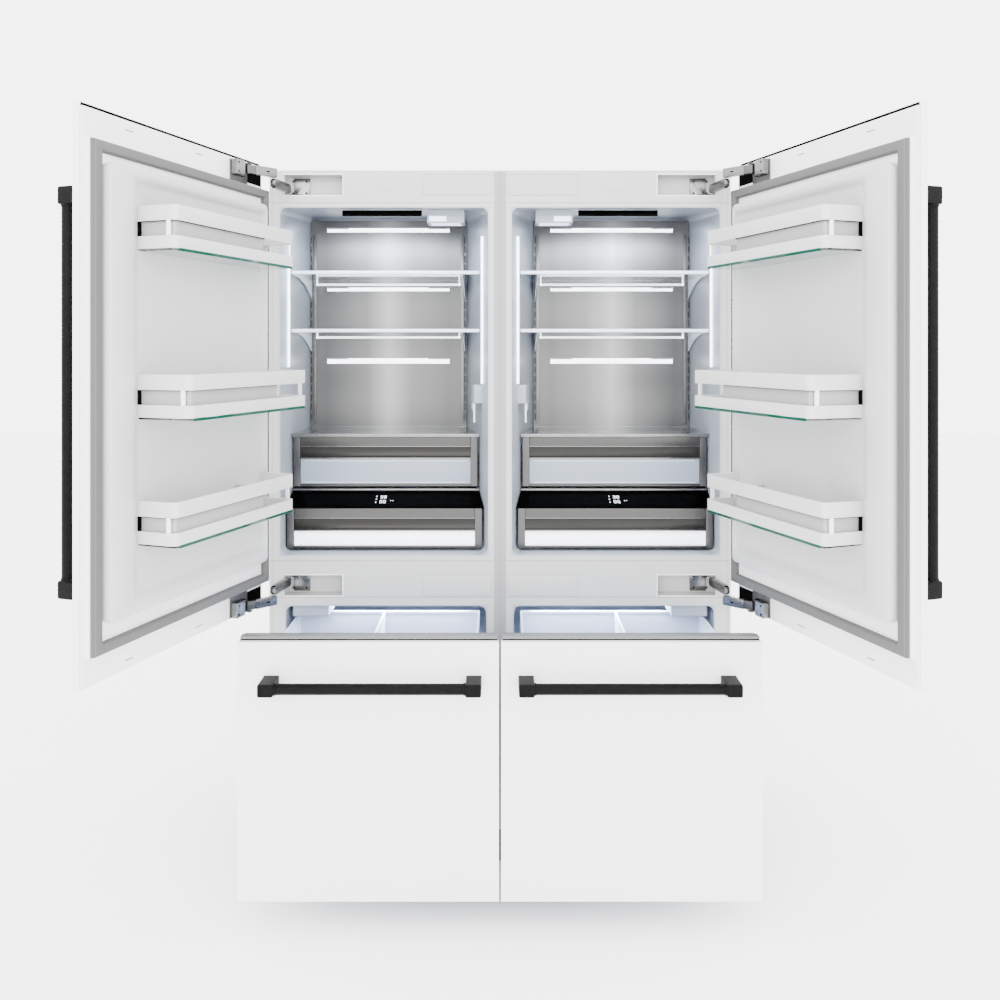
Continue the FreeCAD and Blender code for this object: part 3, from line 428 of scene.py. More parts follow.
def u_plan(x0, x1, y0, y1, wall, radius):
    """Plan of a rail that runs out from y0, round two corners and back, open towards y0."""
    outer = (
        [(x1, y0)] + arc((x1 - radius, y1 - radius), radius, 0, 90)
        + arc((x0 + radius, y1 - radius), radius, 90, 180) + [(x0, y0)])
    inner_radius = radius - wall
    inner = (
        [(x0 + wall, y0)]
        + arc((x0 + radius, y1 - radius), inner_radius, 180, 90)
        + arc((x1 - radius, y1 - radius), inner_radius, 90, 0) + [(x1 - wall, y0)])
    return outer + inner


SHARP_FROM = 32.0


def hang(work, name, body, look, pose=STILL, mirror=False):
    """One piece from a mesh in the making, posed, given its material and put on its body."""
    mesh = bpy.data.meshes.new(name)
    copy = work.copy()
    copy.transform(pose)
    if mirror:
        copy.transform(Matrix.Scale(-1, 4, (1, 0, 0)))
        bmesh.ops.reverse_faces(copy, faces=copy.faces)
    copy.to_mesh(mesh)
    copy.free()
    piece = bpy.data.objects.new(name, mesh)
    link(piece)
    mesh.materials.append(look.material)
    for face in mesh.polygons:
        face.use_smooth = True
    mesh.set_sharp_from_angle(angle=math.radians(SHARP_FROM))
    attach(piece, body)
    return piece


def twins(work, name, body, look, node=None, slot=None):
    """The same piece on both units; body and node are named without their side."""
    shared, pose = body == "cabinet", REST.get(body, STILL)
    for side in SIDES:
        own_body = body if shared else f"{side}_{body}"
        piece = hang(work, f"{side}_{name}", own_body, look, pose, side == "right")
        if node:
            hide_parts(node if shared else f"{side}_{node}")
    work.free()


def dressed(node, look):
    """A CAD node that keeps its shape and gets a finished material."""
    item = frame["nodes"][node]
    if not item.material_slots:
        item.data.materials.append(look.material)
    for holder in item.material_slots:
        holder.material = look.material


# --- doors ---

def door_panels():
    """Loose front panels: lacquered board with eased edges."""
    for name, body, box in (
            ("door", "door", PANEL), ("drawer", "freezer_drawer", DRAWER_PANEL)):
        twins(block_mesh([box], 1.2 * MM, 3), f"{name}_front", body, panel_paint, f"{name}_panel",
              "white_panel")


def door_bodies():
    """Flange sheet, raised insulated box, a dark sheet of painted shade in the seam over the
    panel, and slits in the flange painted dark as shade.
    """
    lo, hi = BODY
    flange_y = next_plane(lo.y)
    work = block_mesh([(lo, (hi.x, flange_y, hi.z))], 1.5 * MM)
    join(work, block_mesh([
        ((lo.x, flange_y - MM, GASKET[0].z - 3 * MM), (hi.x, hi.y, GASKET[1].z + 3 * MM))],
        4 * MM, 4))
    twins(work, "door_shell", "door", flange_paint, "door_body", "white_frame")
    # Painted shade in the seam over the panel.
    seam = bmesh.new()
    add_block(seam, (lo.x + 2 * MM, PANEL[1].y - 0.5 * MM, hi.z - 0.5 * MM),
              (hi.x - 2 * MM, PANEL[1].y + 2 * MM, hi.z + 8 * MM))
    twins(seam, "door_top_seam_shade", "door", gap_shade, slot="black_metal")
    # The slits are dark marks of painted shade.
    slits = block_mesh([
        ((x - 14 * MM, flange_y - MM, z - 1.6 * MM),
         (x + 14 * MM, flange_y + 0.4 * MM, z + 1.6 * MM))
        for z in (hi.z - 24 * MM, lo.z + 22 * MM)
        for x in (hi.x - 150 * MM, hi.x - 420 * MM)], 0.5 * MM)
    twins(slits, "flange_slit_shades", "door", painted_shade_grey, slot="white_frame")


def next_plane(y):
    """The flange's inner plane, where the raised box starts."""
    verts = frame["nodes"]["left_door_body"].data.vertices
    return min(v for v in {round((DOOR_SHUT @ v.co).y, 5) for v in verts} if v > y + MM)


def join(work, other):
    """Moves one mesh in the making into another."""
    mesh = bpy.data.meshes.new("joined")
    other.to_mesh(mesh)
    work.from_mesh(mesh)
    bpy.data.meshes.remove(mesh)
    other.free()


def seal(name, box, body, node, width):
    """Magnetic gasket: a bellows profile run round the door's inside, mitred at its corners."""
    lo, hi = box
    deep = hi.y - lo.y
    profile = [
        (0.02, 0.0), (0.0, 0.35), (0.10, 0.55), (0.04, 0.72), (0.16, 0.96), (0.30, 1.0),
        (0.70, 1.0), (0.84, 0.96), (0.96, 0.72), (0.90, 0.55), (1.0, 0.35), (0.98, 0.0)]
    work = bmesh.new()
    rings = []
    for across, up in profile:
        inset, y = across * width, lo.y + up * deep
        x0, x1, z0, z1 = lo.x + inset, hi.x - inset, lo.z + inset, hi.z - inset
        rings.append([
            work.verts.new((x, y, z)) for x, z in ((x0, z0), (x1, z0), (x1, z1), (x0, z1))])
    for a, b in zip(rings, rings[1:] + rings[:1]):
        bridge(work, a, b)
    face_out(work)
    twins(work, name, body, rubber, node, "gasket_rubber")


def door_liners():
    """Moulded inner liner: a raised border, widest at the hinge side, round a sunk middle."""
    lo, hi = LINER
    top = hi.y - lo.y
    base = 4 * MM - lo.y
    radius = 16 * MM
    # Insets in mm at the hinge side, the far side, the top and the bottom, and the depth.
    rings = (
        (0, 0, 0, 0, 0), (0, 0, 0, 0, top - 14 * MM), (3, 3, 3, 3, top - 8 * MM),
        (9, 7, 9, 9, top - 6 * MM), (70, 9, 20, 30, top - 6 * MM), (80, 11, 27, 38, top - 9 * MM),
        (93, 13, 34, 48, base + 1.5 * MM), (98, 14, 40, 55, base))
    work = bmesh.new()
    loops = []
    for near, far, over, under, deep in rings:
        x0, x1 = lo.x + far * MM + radius, hi.x - near * MM - radius
        z0, z1 = lo.z + under * MM + radius, hi.z - over * MM - radius
        corners = ((x1, z1), (x0, z1), (x0, z0), (x1, z0))
        loops.append([
            work.verts.new((x, lo.y + deep, z)) for k, corner in enumerate(corners)
            for x, z in arc(corner, radius, k * 90, (k + 1) * 90, 6)])
    for a, b in zip(loops, loops[1:]):
        bridge(work, a, b)
    work.faces.new(loops[-1])
    work.faces.new(list(reversed(loops[0])))
    face_out(work)
    twins(work, "door_inner_liner", "door", liner_white, "door_liner", "liner_plastic")


def u_rail(box, wall, radius, ease=1.4 * MM):
    """A rail round three sides of a box, open towards the door."""
    lo, hi = box
    rail = bmesh.new()
    add_prism(rail, u_plan(lo.x, hi.x, lo.y, hi.y, wall, radius), lo.z, hi.z)
    soften(rail, ease, 2, 40.0)
    return rail


def door_bins():
    """Each bin: two flat rails, a smoky insert between them, corner posts, painted shadow lines
    under the upper rail and in the slot at each end, and a glass floor.
    """
    rails = islands("left_door_bin_rails", DOOR_REST)
    wall, corner, insert_from = 8 * MM, 18 * MM, 0.27
    bars, posts, inserts, panes, edges, gaps = [bmesh.new() for _ in range(6)]
    for lower, upper in zip(rails[0::2], rails[1::2]):
        for box in (lower, upper):
            join(bars, u_rail(box, wall, corner))
        x0, x1, y0, y1 = lower[0].x, lower[1].x, lower[0].y, lower[1].y
        z0, z1 = lower[1].z, upper[0].z
        insert_x = x0 + insert_from * (x1 - x0)
        inner = (Vector((insert_x, y0 + 9 * MM, z0 - 26 * MM)),
                 Vector((x1 - 9 * MM, y1 - 9 * MM, z1 + 20 * MM)))
        join(inserts, u_rail(inner, 2 * MM, corner - 9 * MM, 0.4 * MM))
        # A painted shadow line under the upper rail.
        line = (Vector((insert_x, y0, z1 - 1.3 * MM)),
                Vector((x1 - 1.2 * MM, y1 - 1.2 * MM, z1 + 0.2 * MM)))
        join(gaps, u_rail(line, wall - 3 * MM, corner - 1.2 * MM, 0.2 * MM))
        for x, sign in ((x0, 1), (x1, -1)):
            near, far = sorted((x + sign * 0.5 * MM, x + sign * 6 * MM))
            join(posts, block_mesh([
                ((near, y1 - corner - 11 * MM, z0 - 2 * MM), (far, y1 - corner, z1 + 2 * MM))],
                MM))
            near, far = sorted((x + sign * 2 * MM, x + sign * 9 * MM))
            # Painted shade in the slot at each end by the door.
            add_block(gaps, (near, y0, z0 - MM), (far, y0 + 7 * MM, z1 + MM))
    for lo, hi in islands("left_door_bin_glass", DOOR_REST):
        join(panes, block_mesh([
            (lo + Vector((2 * MM, 0, 0.2 * MM)), hi - Vector((2 * MM, 2.2 * MM, 0.2 * MM)))],
            0.6 * MM, 1))
        join(edges, block_mesh([
            ((lo.x + 12 * MM, hi.y - 2 * MM, lo.z - 1.5 * MM),
             (hi.x - 12 * MM, hi.y + 3.5 * MM, hi.z + MM))], 0.5 * MM, 1))
    for work, name, look, node, slot in (
            (bars, "rails", bin_satin, "door_bin_rails", "bin_rail"),
            (posts, "posts", bin_white, None, "bin_rail"),
            (inserts, "inserts", insert_sheet, None, "bin_rail"),
            (gaps, "shadow_lines", gap_shade, None, "bin_rail"),
            (panes, "floors", shelf_glass, "door_bin_glass", "clear_glass"),
            (edges, "floor_edges", glass_edge, None, "clear_glass")):
        twins(work, f"bin_{name}", "door", look, node, slot)


def bar_handles():
    """A round bar held by two block posts with rounded corners and collars."""
    post_long, radius = 43 * MM, 15 * MM
    for name, body, along in (("door", "door", 2), ("drawer", "freezer_drawer", 0)):
        lo, hi = shut_box(f"left_{name}_handle", REST[body])

        def on_bar(place):
            """A point on the bar's middle line."""
            point = Vector(((lo.x + hi.x) / 2, lo.y + radius + 3 * MM, (lo.z + hi.z) / 2))
            point[along] = place
            return point

        inner = lo[along] + post_long, hi[along] - post_long
        work = bmesh.new()
        for start, end in ((lo[along], inner[0]), (inner[1], hi[along])):
            a, b = lo.copy(), hi.copy()
            a[along], b[along] = start, end
            join(work, block_mesh([(a, b)], 6 * MM, 4))
            a[1] = hi.y - 5 * MM
            join(work, block_mesh([(a, b)], 1.2 * MM))
        bar = bmesh.new()
        add_tube(bar, on_bar(lo[along] + 12 * MM), on_bar(hi[along] - 12 * MM), radius, 48)
        for inward, place in zip((1, -1), inner):
            add_tube(bar, on_bar(place - inward * 4 * MM), on_bar(place + inward * 5 * MM),
                     radius + 1.6 * MM, 48)
        soften(bar, MM, 2, 50.0)
        join(work, bar)
        twins(work, f"{name}_bar_handle", body, powder_black, f"{name}_handle", "black_metal")


# --- hinges ---

def hinge_boxes(boxes, level):
    """The boxes of one hinge level, the lower or the upper one."""
    middle = (boxes[0][0].z + boxes[-1][1].z) / 2
    return [b for b in boxes if ((b[0].z + b[1].z) / 2 > middle) == (level == "upper")]


def arm_axes(start, end):
    """The length of an arm in plan, its direction and the direction to the right of it."""
    run = end - start
    along = run.normalized()
    return run.length, along, Vector((along.y, -along.x, 0))


def arm_bar(start, end, z0, z1, width, corner, ease):
    """A hinge arm between two plan points: rounded in elevation, eased along its edges."""
    length, along, aside = arm_axes(start, end)
    over, tall = width / 2, z1 - z0
    outline = (
        arc((length + over - corner, tall - corner), corner, 90, 0)
        + arc((length + over - corner, corner), corner, 0, -90)
        + arc((corner - over, corner), corner, 270, 180)
        + arc((corner - over, tall - corner), corner, 180, 90))
    work = bmesh.new()
    add_prism(work, outline, -over, over)
    soften(work, ease, 2, 50.0)
    work.transform(Matrix((
        (along.x, 0, aside.x, start.x), (along.y, 0, aside.y, start.y),
        (0, 1, 0, z0), (0, 0, 0, 1))))
    face_out(work)
    return work


def beside_arm(start, end, span, z0, z1, left):
    """A block beside an arm: its span along the arm, its height and its span to the left."""
    _, along, aside = arm_axes(start, end)
    work = block_mesh([((span[0], left[0], z0), (span[1], left[1], z1))], 0.8 * MM)
    work.transform(Matrix((
        (along.x, -aside.x, 0, start.x), (along.y, -aside.y, 0, start.y), (0, 0, 1, 0),
        (0, 0, 0, 1))))
    return work


def hinge_arms():
    """Door arms as bars whose slot is painted as dark marks of shade, with a link block, cabinet
    arms as plates with a rivet.
    """
    door_pin, cabinet_pin = (
        Vector((*joint(name)["pos_m"][:2], 0))
        for name in ("left_door_arm_pivot", "left_cabinet_arm_pivot"))
    wide = 16 * MM
    corner = shut_box("left_cabinet_arms")[0]
    elbow = Vector((corner.x + wide / 2, corner.y + wide / 2, 0))
    third = door_pin + (elbow - door_pin) * 0.34
    slot_start = (elbow - third).length * 0.48
    upper_hinge = 1.5
    bars, blocks, slots, leaves, rivets = [bmesh.new() for _ in range(5)]
    for lo, hi in islands("left_door_arms"):
        join(bars, arm_bar(third, elbow, lo.z, hi.z, wide, 3.5 * MM, 1.2 * MM))
        join(blocks, arm_bar(door_pin, third, lo.z + 1.5 * MM, hi.z - 1.5 * MM,
                             wide - 2.5 * MM, 2 * MM, 0.8 * MM))
        middle = (lo.z + hi.z) / 2
        # The slot through the bar: dark marks of painted shade at its sides.
        for aside in ((6 * MM, 8.3 * MM), (-8.3 * MM, -6 * MM)):
            join(slots, beside_arm(third, elbow, (slot_start, slot_start + 11 * MM),
                                   middle - 2.2 * MM, middle + 2.2 * MM, aside))
    for lo, hi in islands("left_cabinet_arms"):
        join(leaves, arm_bar(cabinet_pin, elbow, lo.z, hi.z, wide, 12 * MM, 2.4 * MM))
        below = upper_hinge < lo.z < HINGE_MIDDLE["upper"]
        z0, z1 = (lo.z, lo.z - 1.8 * MM) if below else (hi.z, hi.z + 1.8 * MM)
        add_tube(rivets, (elbow.x, elbow.y, z0), (elbow.x, elbow.y, z1), 5.5 * MM, 24)
    soften(rivets, 0.7 * MM, 2, 50.0)
    for work, name, body, look, node in (
            (bars, "bar", "door", chrome, "door_arms"),
            (blocks, "link_block", "door", zinc, None),
            (slots, "slot", "door", gap_shade, None),
            (leaves, "leaf", "cabinet", chrome, "cabinet_arms"),
            (rivets, "rivet", "cabinet", dark_steel, None)):
        twins(work, f"arm_{name}", f"hinge_{body}_arm", look, node=node, slot="hinge_chrome")


def hinge_mounts():
    """Housing, painted shade in its gap and beside the cup, and screws on the door; plate screws
    and painted shade at the edge of the pocket.
    """
    refined("hinge_plates", "cabinet", chrome, 0.8 * MM)
    for side in SIDES:
        refined(f"{side}_door_hinge_cups", f"{side}_door", zinc, 0.8 * MM)
    pocket = (-683 * MM, -628 * MM)
    houses, gaps, screws, plate_screws, edges = [bmesh.new() for _ in range(5)]
    for level, sign in (("upper", 1), ("lower", -1)):
        height = HINGE_MIDDLE[level]
        cup_low, cup_high = hinge_boxes(CUPS, level)[0]
        x1, y0 = cup_high.x, cup_low.y + 3.5 * MM
        z0, z1 = sorted((height - sign * 12 * MM, height + sign * 32 * MM))
        join(houses, block_mesh([
            ((x1 - 43 * MM, y0, z0), (x1 - 2 * MM, -9 * MM, z1))], 2.5 * MM, 3))
        # Painted shade in the gap beside the housing, and in a band from the door's edge to the
        # cup.
        add_block(gaps, (x1 - 55 * MM, y0, z0 + MM), (x1 - 43.5 * MM, -18 * MM, z1 - MM))
        add_block(gaps, (BODY[0].x + 5 * MM, cup_low.y - 0.3 * MM, height - 22 * MM),
                  (cup_low.x - 0.5 * MM, cup_low.y + 1.2 * MM, height + 22 * MM))
        x = x1 - 12 * MM
        for z in (z0 + 9 * MM, z1 - 9 * MM):
            add_tube(screws, (x, -9.5 * MM, z), (x, -7.6 * MM, z), 3 * MM, 20)
        wall = hinge_boxes(PLATES, level)[0]
        for x in (wall[0].x + 12 * MM, wall[1].x - 12 * MM):
            for z in (height - 19 * MM, height + 19 * MM):
                add_tube(plate_screws, (x, 46 * MM, z), (x, 43.2 * MM, z), 3.6 * MM, 20)
        # Painted shade at the pocket's edge.
        z0, z1 = sorted((height - sign * 32.8 * MM, height - sign * 29.4 * MM))
        add_block(edges, (pocket[0], 1.5 * MM, z0), (pocket[1], 9 * MM, z1))
    for work in (screws, plate_screws):
        soften(work, 0.6 * MM, 2, 50.0)
    twins(houses, "hinge_housing", "door", chrome, slot="hinge_chrome")
    twins(gaps, "hinge_housing_gap_shade", "door", gap_shade, slot="black_metal")
    twins(screws, "hinge_housing_screws", "door", dark_steel, slot="hinge_chrome")
    twins(plate_screws, "hinge_plate_screws", "cabinet", dark_steel, slot="hinge_chrome")
    twins(edges, "pocket_edge_shade", "cabinet", gap_shade, slot="black_metal")


def bare_mesh(node, keep=None):
    """A CAD node's mesh with flat faces made whole, or the solids of it that pass a test."""
    work = node_mesh(node, 1e-6)
    if keep:
        gone = [
            vert for group in solids(work) if not keep(*box_of([v.co for v in group]))
            for vert in group]
        bmesh.ops.delete(work, geom=gone, context="VERTS")
    bmesh.ops.dissolve_limit(
        work, angle_limit=math.radians(0.3), verts=work.verts, edges=work.edges)
    return work


def refined(node, body, look, radius, segments=2, suffix="look", keep=None):
    """A CAD node's shape with its edges eased, in the plain one's place."""
    work = bare_mesh(node, keep)
    soften(work, radius, segments, 40.0)
    piece = hang(work, f"{node}_{suffix}", body, look)
    work.free()
    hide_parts(node)


# --- cabinet ---

def casing_skin():
    """The casings' shape with the back sheet set in a little, to leave room for its beads."""
    work = bare_mesh("casings")
    for vert in work.verts:
        if vert.co.y > CASING[1].y - 0.1 * MM:
            vert.co.y -= SHEET_INSET
    soften(work, 0.6 * MM, 1, 40.0)
    piece = hang(work, "casing_skin", "cabinet", casing_steel)
    work.free()
    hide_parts("casings")


def cabinet_shell():
    casing_skin()
    for node, look in (
            ("insulation_blocks", foam), ("joining_strip", frame_paint),
            ("fridge_liners", cavity_white), ("freezer_liners", cavity_white),
            ("face_frames", frame_paint), ("plinth", powder_black), ("levelling_feet", zinc),
            ("cooling_sets", black_plastic)):
        dressed(node, look)


def face_details():
    """Middle strips, grooves painted dark as shade, cover plates, pocket rims and a blank name
    plate.
    """
    x0, x1, z0, z1 = FRAME[0].x, FRAME[1].x, FRAME[0].z, FRAME[1].z
    out, inside, line = 0.2 * MM, MM, 0.8 * MM
    cavity_tall = 1106 * MM
    strips = block_mesh([
        ((x1 - 16 * MM, -out / 2, z0 + 4 * MM), (x1 - 1.6 * MM, inside, z1 - 4 * MM))],
        0.1 * MM, 1)
    twins(strips, "centre_strips", "cabinet", strip_paint, slot="white_frame")
    grooves, plates, rims = [bmesh.new() for _ in range(3)]
    # The grooves are dark strips of painted shade.
    for z in (CAVITY[0].z + cavity_tall + 15 * MM, CAVITY[0].z - 15 * MM,
              FREEZER[1].z + 25 * MM):
        add_block(grooves, (x0 + 4 * MM, -out, z - line), (x1 - 18 * MM, inside, z + line))
    for x in (x1 - 17 * MM, x0 + 9 * MM):
        add_block(grooves, (x - 0.5 * MM, -out, z0 + 4 * MM),
                  (x + 0.5 * MM, inside, z1 - 4 * MM))
    add_block(grooves, (x1 - 1.2 * MM, -out, z0), (x1, inside, z1))
    left, right = x1 - 245 * MM, x1 - 26 * MM
    rim_left, rim_right = x0 + 45 * MM, x0 + 235 * MM
    for height in HINGE_MIDDLE.values():
        low, high = height - 33 * MM, height + 33 * MM
        for z in (low, high):
            add_block(grooves, (left - line, -out, z - line), (right + line, inside, z + line))
        for x in (left, right):
            add_block(grooves, (x - line, -out, low - line), (x + line, inside, high + line))
        add_block(plates, (left, -0.9 * MM, low), (right, 2 * MM, high))
        low, high = height - 34 * MM, height + 34 * MM
        for z in (low, high):
            add_block(rims, (rim_left, -line, z - 1.5 * MM), (rim_right, inside, z + 1.5 * MM))
        add_block(rims, (rim_right - 3 * MM, -line, low), (rim_right, inside, high))
    add_block(plates, (x0 + 337 * MM, -0.9 * MM, z1 - 62 * MM),
              (x0 + 399 * MM, 2 * MM, z1 - 43 * MM))
    soften(plates, 0.6 * MM)
    soften(rims, 0.5 * MM, 1)
    twins(grooves, "face_groove_shades", "cabinet", painted_shade_grey, slot="white_frame")
    twins(plates, "cover_plates", "cabinet", frame_paint, slot="white_frame")
    twins(rims, "pocket_rims", "cabinet", panel_paint, slot="white_frame")


def is_strip(lo, hi):
    return hi.z - lo.z < 25 * MM and hi.x - lo.x > 200 * MM


def is_track(lo, hi):
    return hi.z - lo.z >= 300 * MM


def is_plate(lo, hi):
    return hi.x - lo.x < 6 * MM and hi.z - lo.z < 50 * MM


def shelf_parts():
    """Shelf rails, trim of the crisper cover, swept brackets, rear rails glowing with painted
    light, and slotted ladder tracks whose slots are dark marks of painted shade.
    """
    cover_top = 1.35

    def is_rail(lo, hi):
        return not is_track(lo, hi) and not is_plate(lo, hi)

    refined("shelf_frames", "cabinet", shelf_white, 1.5 * MM,
            keep=lambda lo, hi: lo.z > cover_top and is_rail(lo, hi))
    refined("shelf_frames", "cabinet", track_steel, MM, suffix="tracks", keep=is_track)
    refined("shelf_frames", "cabinet", cover_trim, 1.2 * MM, suffix="trim",
            keep=lambda lo, hi: lo.z <= cover_top and is_rail(lo, hi))
    brackets, rear, slots = [bmesh.new() for _ in range(3)]
    steps = [k / 10 for k in range(11)]
    x0, x1, face = DUCT[0].x, DUCT[1].x, DUCT[0].y
    for lo, hi in islands("shelf_frames"):
        if is_plate(lo, hi):
            top = hi.z + 3 * MM
            sweep = [
                (lo.y + (hi.y - lo.y) * s, top - 9 * MM - 62 * MM * s ** 2.2) for s in steps]
            plate = bmesh.new()
            add_prism(plate, [(lo.y, top), *sweep, (hi.y, top)], 0, 4 * MM)
            face_out(plate)
            soften(plate, 0.8 * MM, 2, 40.0)
            plate.transform(Matrix.Translation((lo.x, 0, 0)) @ SIDEWAYS)
            face_out(plate)
            join(brackets, plate)
        elif lo.z > cover_top and hi.y - lo.y < 20 * MM and hi.x - lo.x > 300 * MM:
            join(rear, block_mesh([
                ((x0 + 22 * MM, face - 14 * MM, lo.z - 17 * MM),
                 (x1 - 22 * MM, face - 9 * MM, lo.z - 9 * MM)),
                *(((x, face - 14 * MM, lo.z - 17 * MM), (x + 6 * MM, face - 9 * MM, lo.z + 4 * MM))
                  for x in (x0 + 22 * MM, x1 - 28 * MM))], MM))
    twins(brackets, "shelf_brackets", "cabinet", shelf_white, slot="bin_rail")
    # The rear rails and their uprights glow with painted light.
    twins(rear, "shelf_rear_rails", "cabinet", painted_rail_light, slot="bin_rail")
    # Slots of the ladder tracks: dark marks of painted shade.
    for x in (x0 - MM, x1 - 7 * MM):
        for low in range(1360, 2030, 34):
            add_block(slots, (x, face - 1.2 * MM, low * MM),
                      (x + 5 * MM, face, (low + 26) * MM))
    soften(slots, 0.4 * MM, 1)
    twins(slots, "ladder_slots", "cabinet", slot_shade, slot="black_metal")


def duct_parts():
    """Slot louvres in front of the lit lenses, with a dark line of painted shade over each."""
    dressed("duct_panels", duct_steel)
    dressed("lamp_lenses", strip_lamp)
    louvres, shades = bmesh.new(), bmesh.new()
    for lo, hi in islands("lamp_lenses"):
        if hi.x - lo.x <= 200 * MM:
            continue
        front, top = lo.y, hi.z
        for x0, x1 in ((lo.x, lo.x + 82 * MM), (hi.x - 82 * MM, hi.x)):
            add_block(louvres, (x0, front - 2.5 * MM, top - 5 * MM), (x1, front - 0.4 * MM, top))
        add_block(louvres, (lo.x, front - 3 * MM, top - 1.2 * MM), (hi.x, front - 0.5 * MM, top))
        for x0, x1 in ((lo.x + 2 * MM, lo.x + 76 * MM), (hi.x - 76 * MM, hi.x - 2 * MM)):
            add_block(shades, (x0, front - 3.4 * MM, top - 2.6 * MM),
                      (x1, front - 2 * MM, top - 0.4 * MM))
    twins(shades, "slot_shade_lines", "cabinet", slot_shade, slot="black_metal")
    soften(louvres, 0.4 * MM, 1)
    twins(louvres, "slot_louvres", "cabinet", soft_lamp, slot="lamp_diffuser")


def ceiling_parts():
    """Lamp block with its lens, black strip, dispenser housing and paddle."""
    refined("wall_housings", "cabinet", cavity_white, 2 * MM, 3, keep=lambda lo, hi: (
        not is_strip(lo, hi)))
    refined("wall_housings", "cabinet", black_glass, 0.8 * MM, 2, "strip", is_strip)
    lo, hi = next(
        b for b in islands("wall_housings") if b[1].x - b[0].x > 100 * MM and not is_strip(*b))
    lens = block_mesh([
        ((lo.x + 6 * MM, lo.y - MM, lo.z + 5 * MM),
         (lo.x + 62 * MM, lo.y + MM, lo.z + 22 * MM)),
        ((lo.x + 10 * MM, lo.y + 10 * MM, lo.z - MM),
         (hi.x - 12 * MM, hi.y - 10 * MM, lo.z + MM))], 0.8 * MM)
    twins(lens, "ceiling_lamp_lens", "cabinet", soft_lamp, slot="lamp_diffuser")
    for side in SIDES:
        refined(f"{side}_dispenser_paddle", f"{side}_water_paddle", shelf_white, 1.5 * MM, 3)


SEGMENTS = {
    "top": (0.0, 1.0, 1.0, 1.0), "middle": (0.0, 0.5, 1.0, 0.5), "low": (0.0, 0.0, 1.0, 0.0),
    "upper_left": (0.0, 0.5, 0.0, 1.0), "upper_right": (1.0, 0.5, 1.0, 1.0),
    "lower_left": (0.0, 0.0, 0.0, 0.5), "lower_right": (1.0, 0.0, 1.0, 0.5)}
DIGITS = {
    "3": ("top", "middle", "low", "upper_right", "lower_right"),
    "8": tuple(SEGMENTS),
    "0": ("top", "low", "upper_left", "upper_right", "lower_left", "lower_right")}
DISPLAY_ASIDE = 0.384


def control_display():
    """Two rows of lit digits and a few marks on each tilted glass panel."""
    dressed("control_panels", black_glass)
    mesh = frame["nodes"]["control_panels"].data
    wide, tall, half = 6.5, 14, 0.6
    for side, sign in zip(SIDES, (-1, 1)):
        top = max(
            (f for f in mesh.polygons if f.normal.z > 0.5 and f.center.x * sign > 0),
            key=lambda f: f.area)
        normal = top.normal.copy()
        lo, hi = box_of([mesh.vertices[i].co for i in top.vertices])
        rise = Vector((0, hi.y - lo.y, hi.z - lo.z)).normalized()
        origin = Vector((sign * DISPLAY_ASIDE, (lo.y + hi.y) / 2, (lo.z + hi.z) / 2))
        work = bmesh.new()

        def mark(x0, v0, x1, v1):
            """A lit mark between two points of the panel, in mm from its middle."""
            add_block(work, (x0 * MM, v0 * MM, -0.2 * MM), (x1 * MM, v1 * MM, 0.35 * MM))

        for row, text in ((5, "38"), (-22, "00")):
            for left, digit in zip((-10, 2), text):
                for name in DIGITS[digit]:
                    a, b, c, d = SEGMENTS[name]
                    mark(left + a * wide - half, row + b * tall - half,
                         left + c * wide + half, row + d * tall + half)
        for v in (-18, -1, 16):
            mark(-25, v - 1.6, -21.8, v + 1.6)
        for x in (24, 31):
            mark(x, -10, x + 2.4, -7.6)
        work.transform(Matrix((
            (1, rise.x, normal.x, origin.x), (0, rise.y, normal.y, origin.y),
            (0, rise.z, normal.z, origin.z), (0, 0, 0, 1))))
        piece = hang(work, f"{side}_display_digits", "cabinet", digit_glow)
        work.free()


def interiors():
    shelf_parts()
    duct_parts()
    ceiling_parts()
    control_display()
    dressed("shelf_glass", shelf_glass)
    refined("drawer_runners", "cabinet", zinc, MM)
    refined("ice_makers", "cabinet", cavity_white, 4 * MM, 3)


def grip_profile(y0, z_top, z_low, deep):
    """Hollow of a pull grip in section: a flat roof, then a long curve out to the lower lip."""
    turns = [math.radians(90 * k / 8) for k in range(9)]
    curve = [
        (y0 + deep * math.cos(t), z_low + (z_top - 2 * MM - z_low) * (1 - math.sin(t)))
        for t in turns]
    back, under = y0 + deep + 4 * MM, z_low - MM
    return [(y0 + deep, z_top), *curve, (y0, under), (back, under), (back, z_top)]


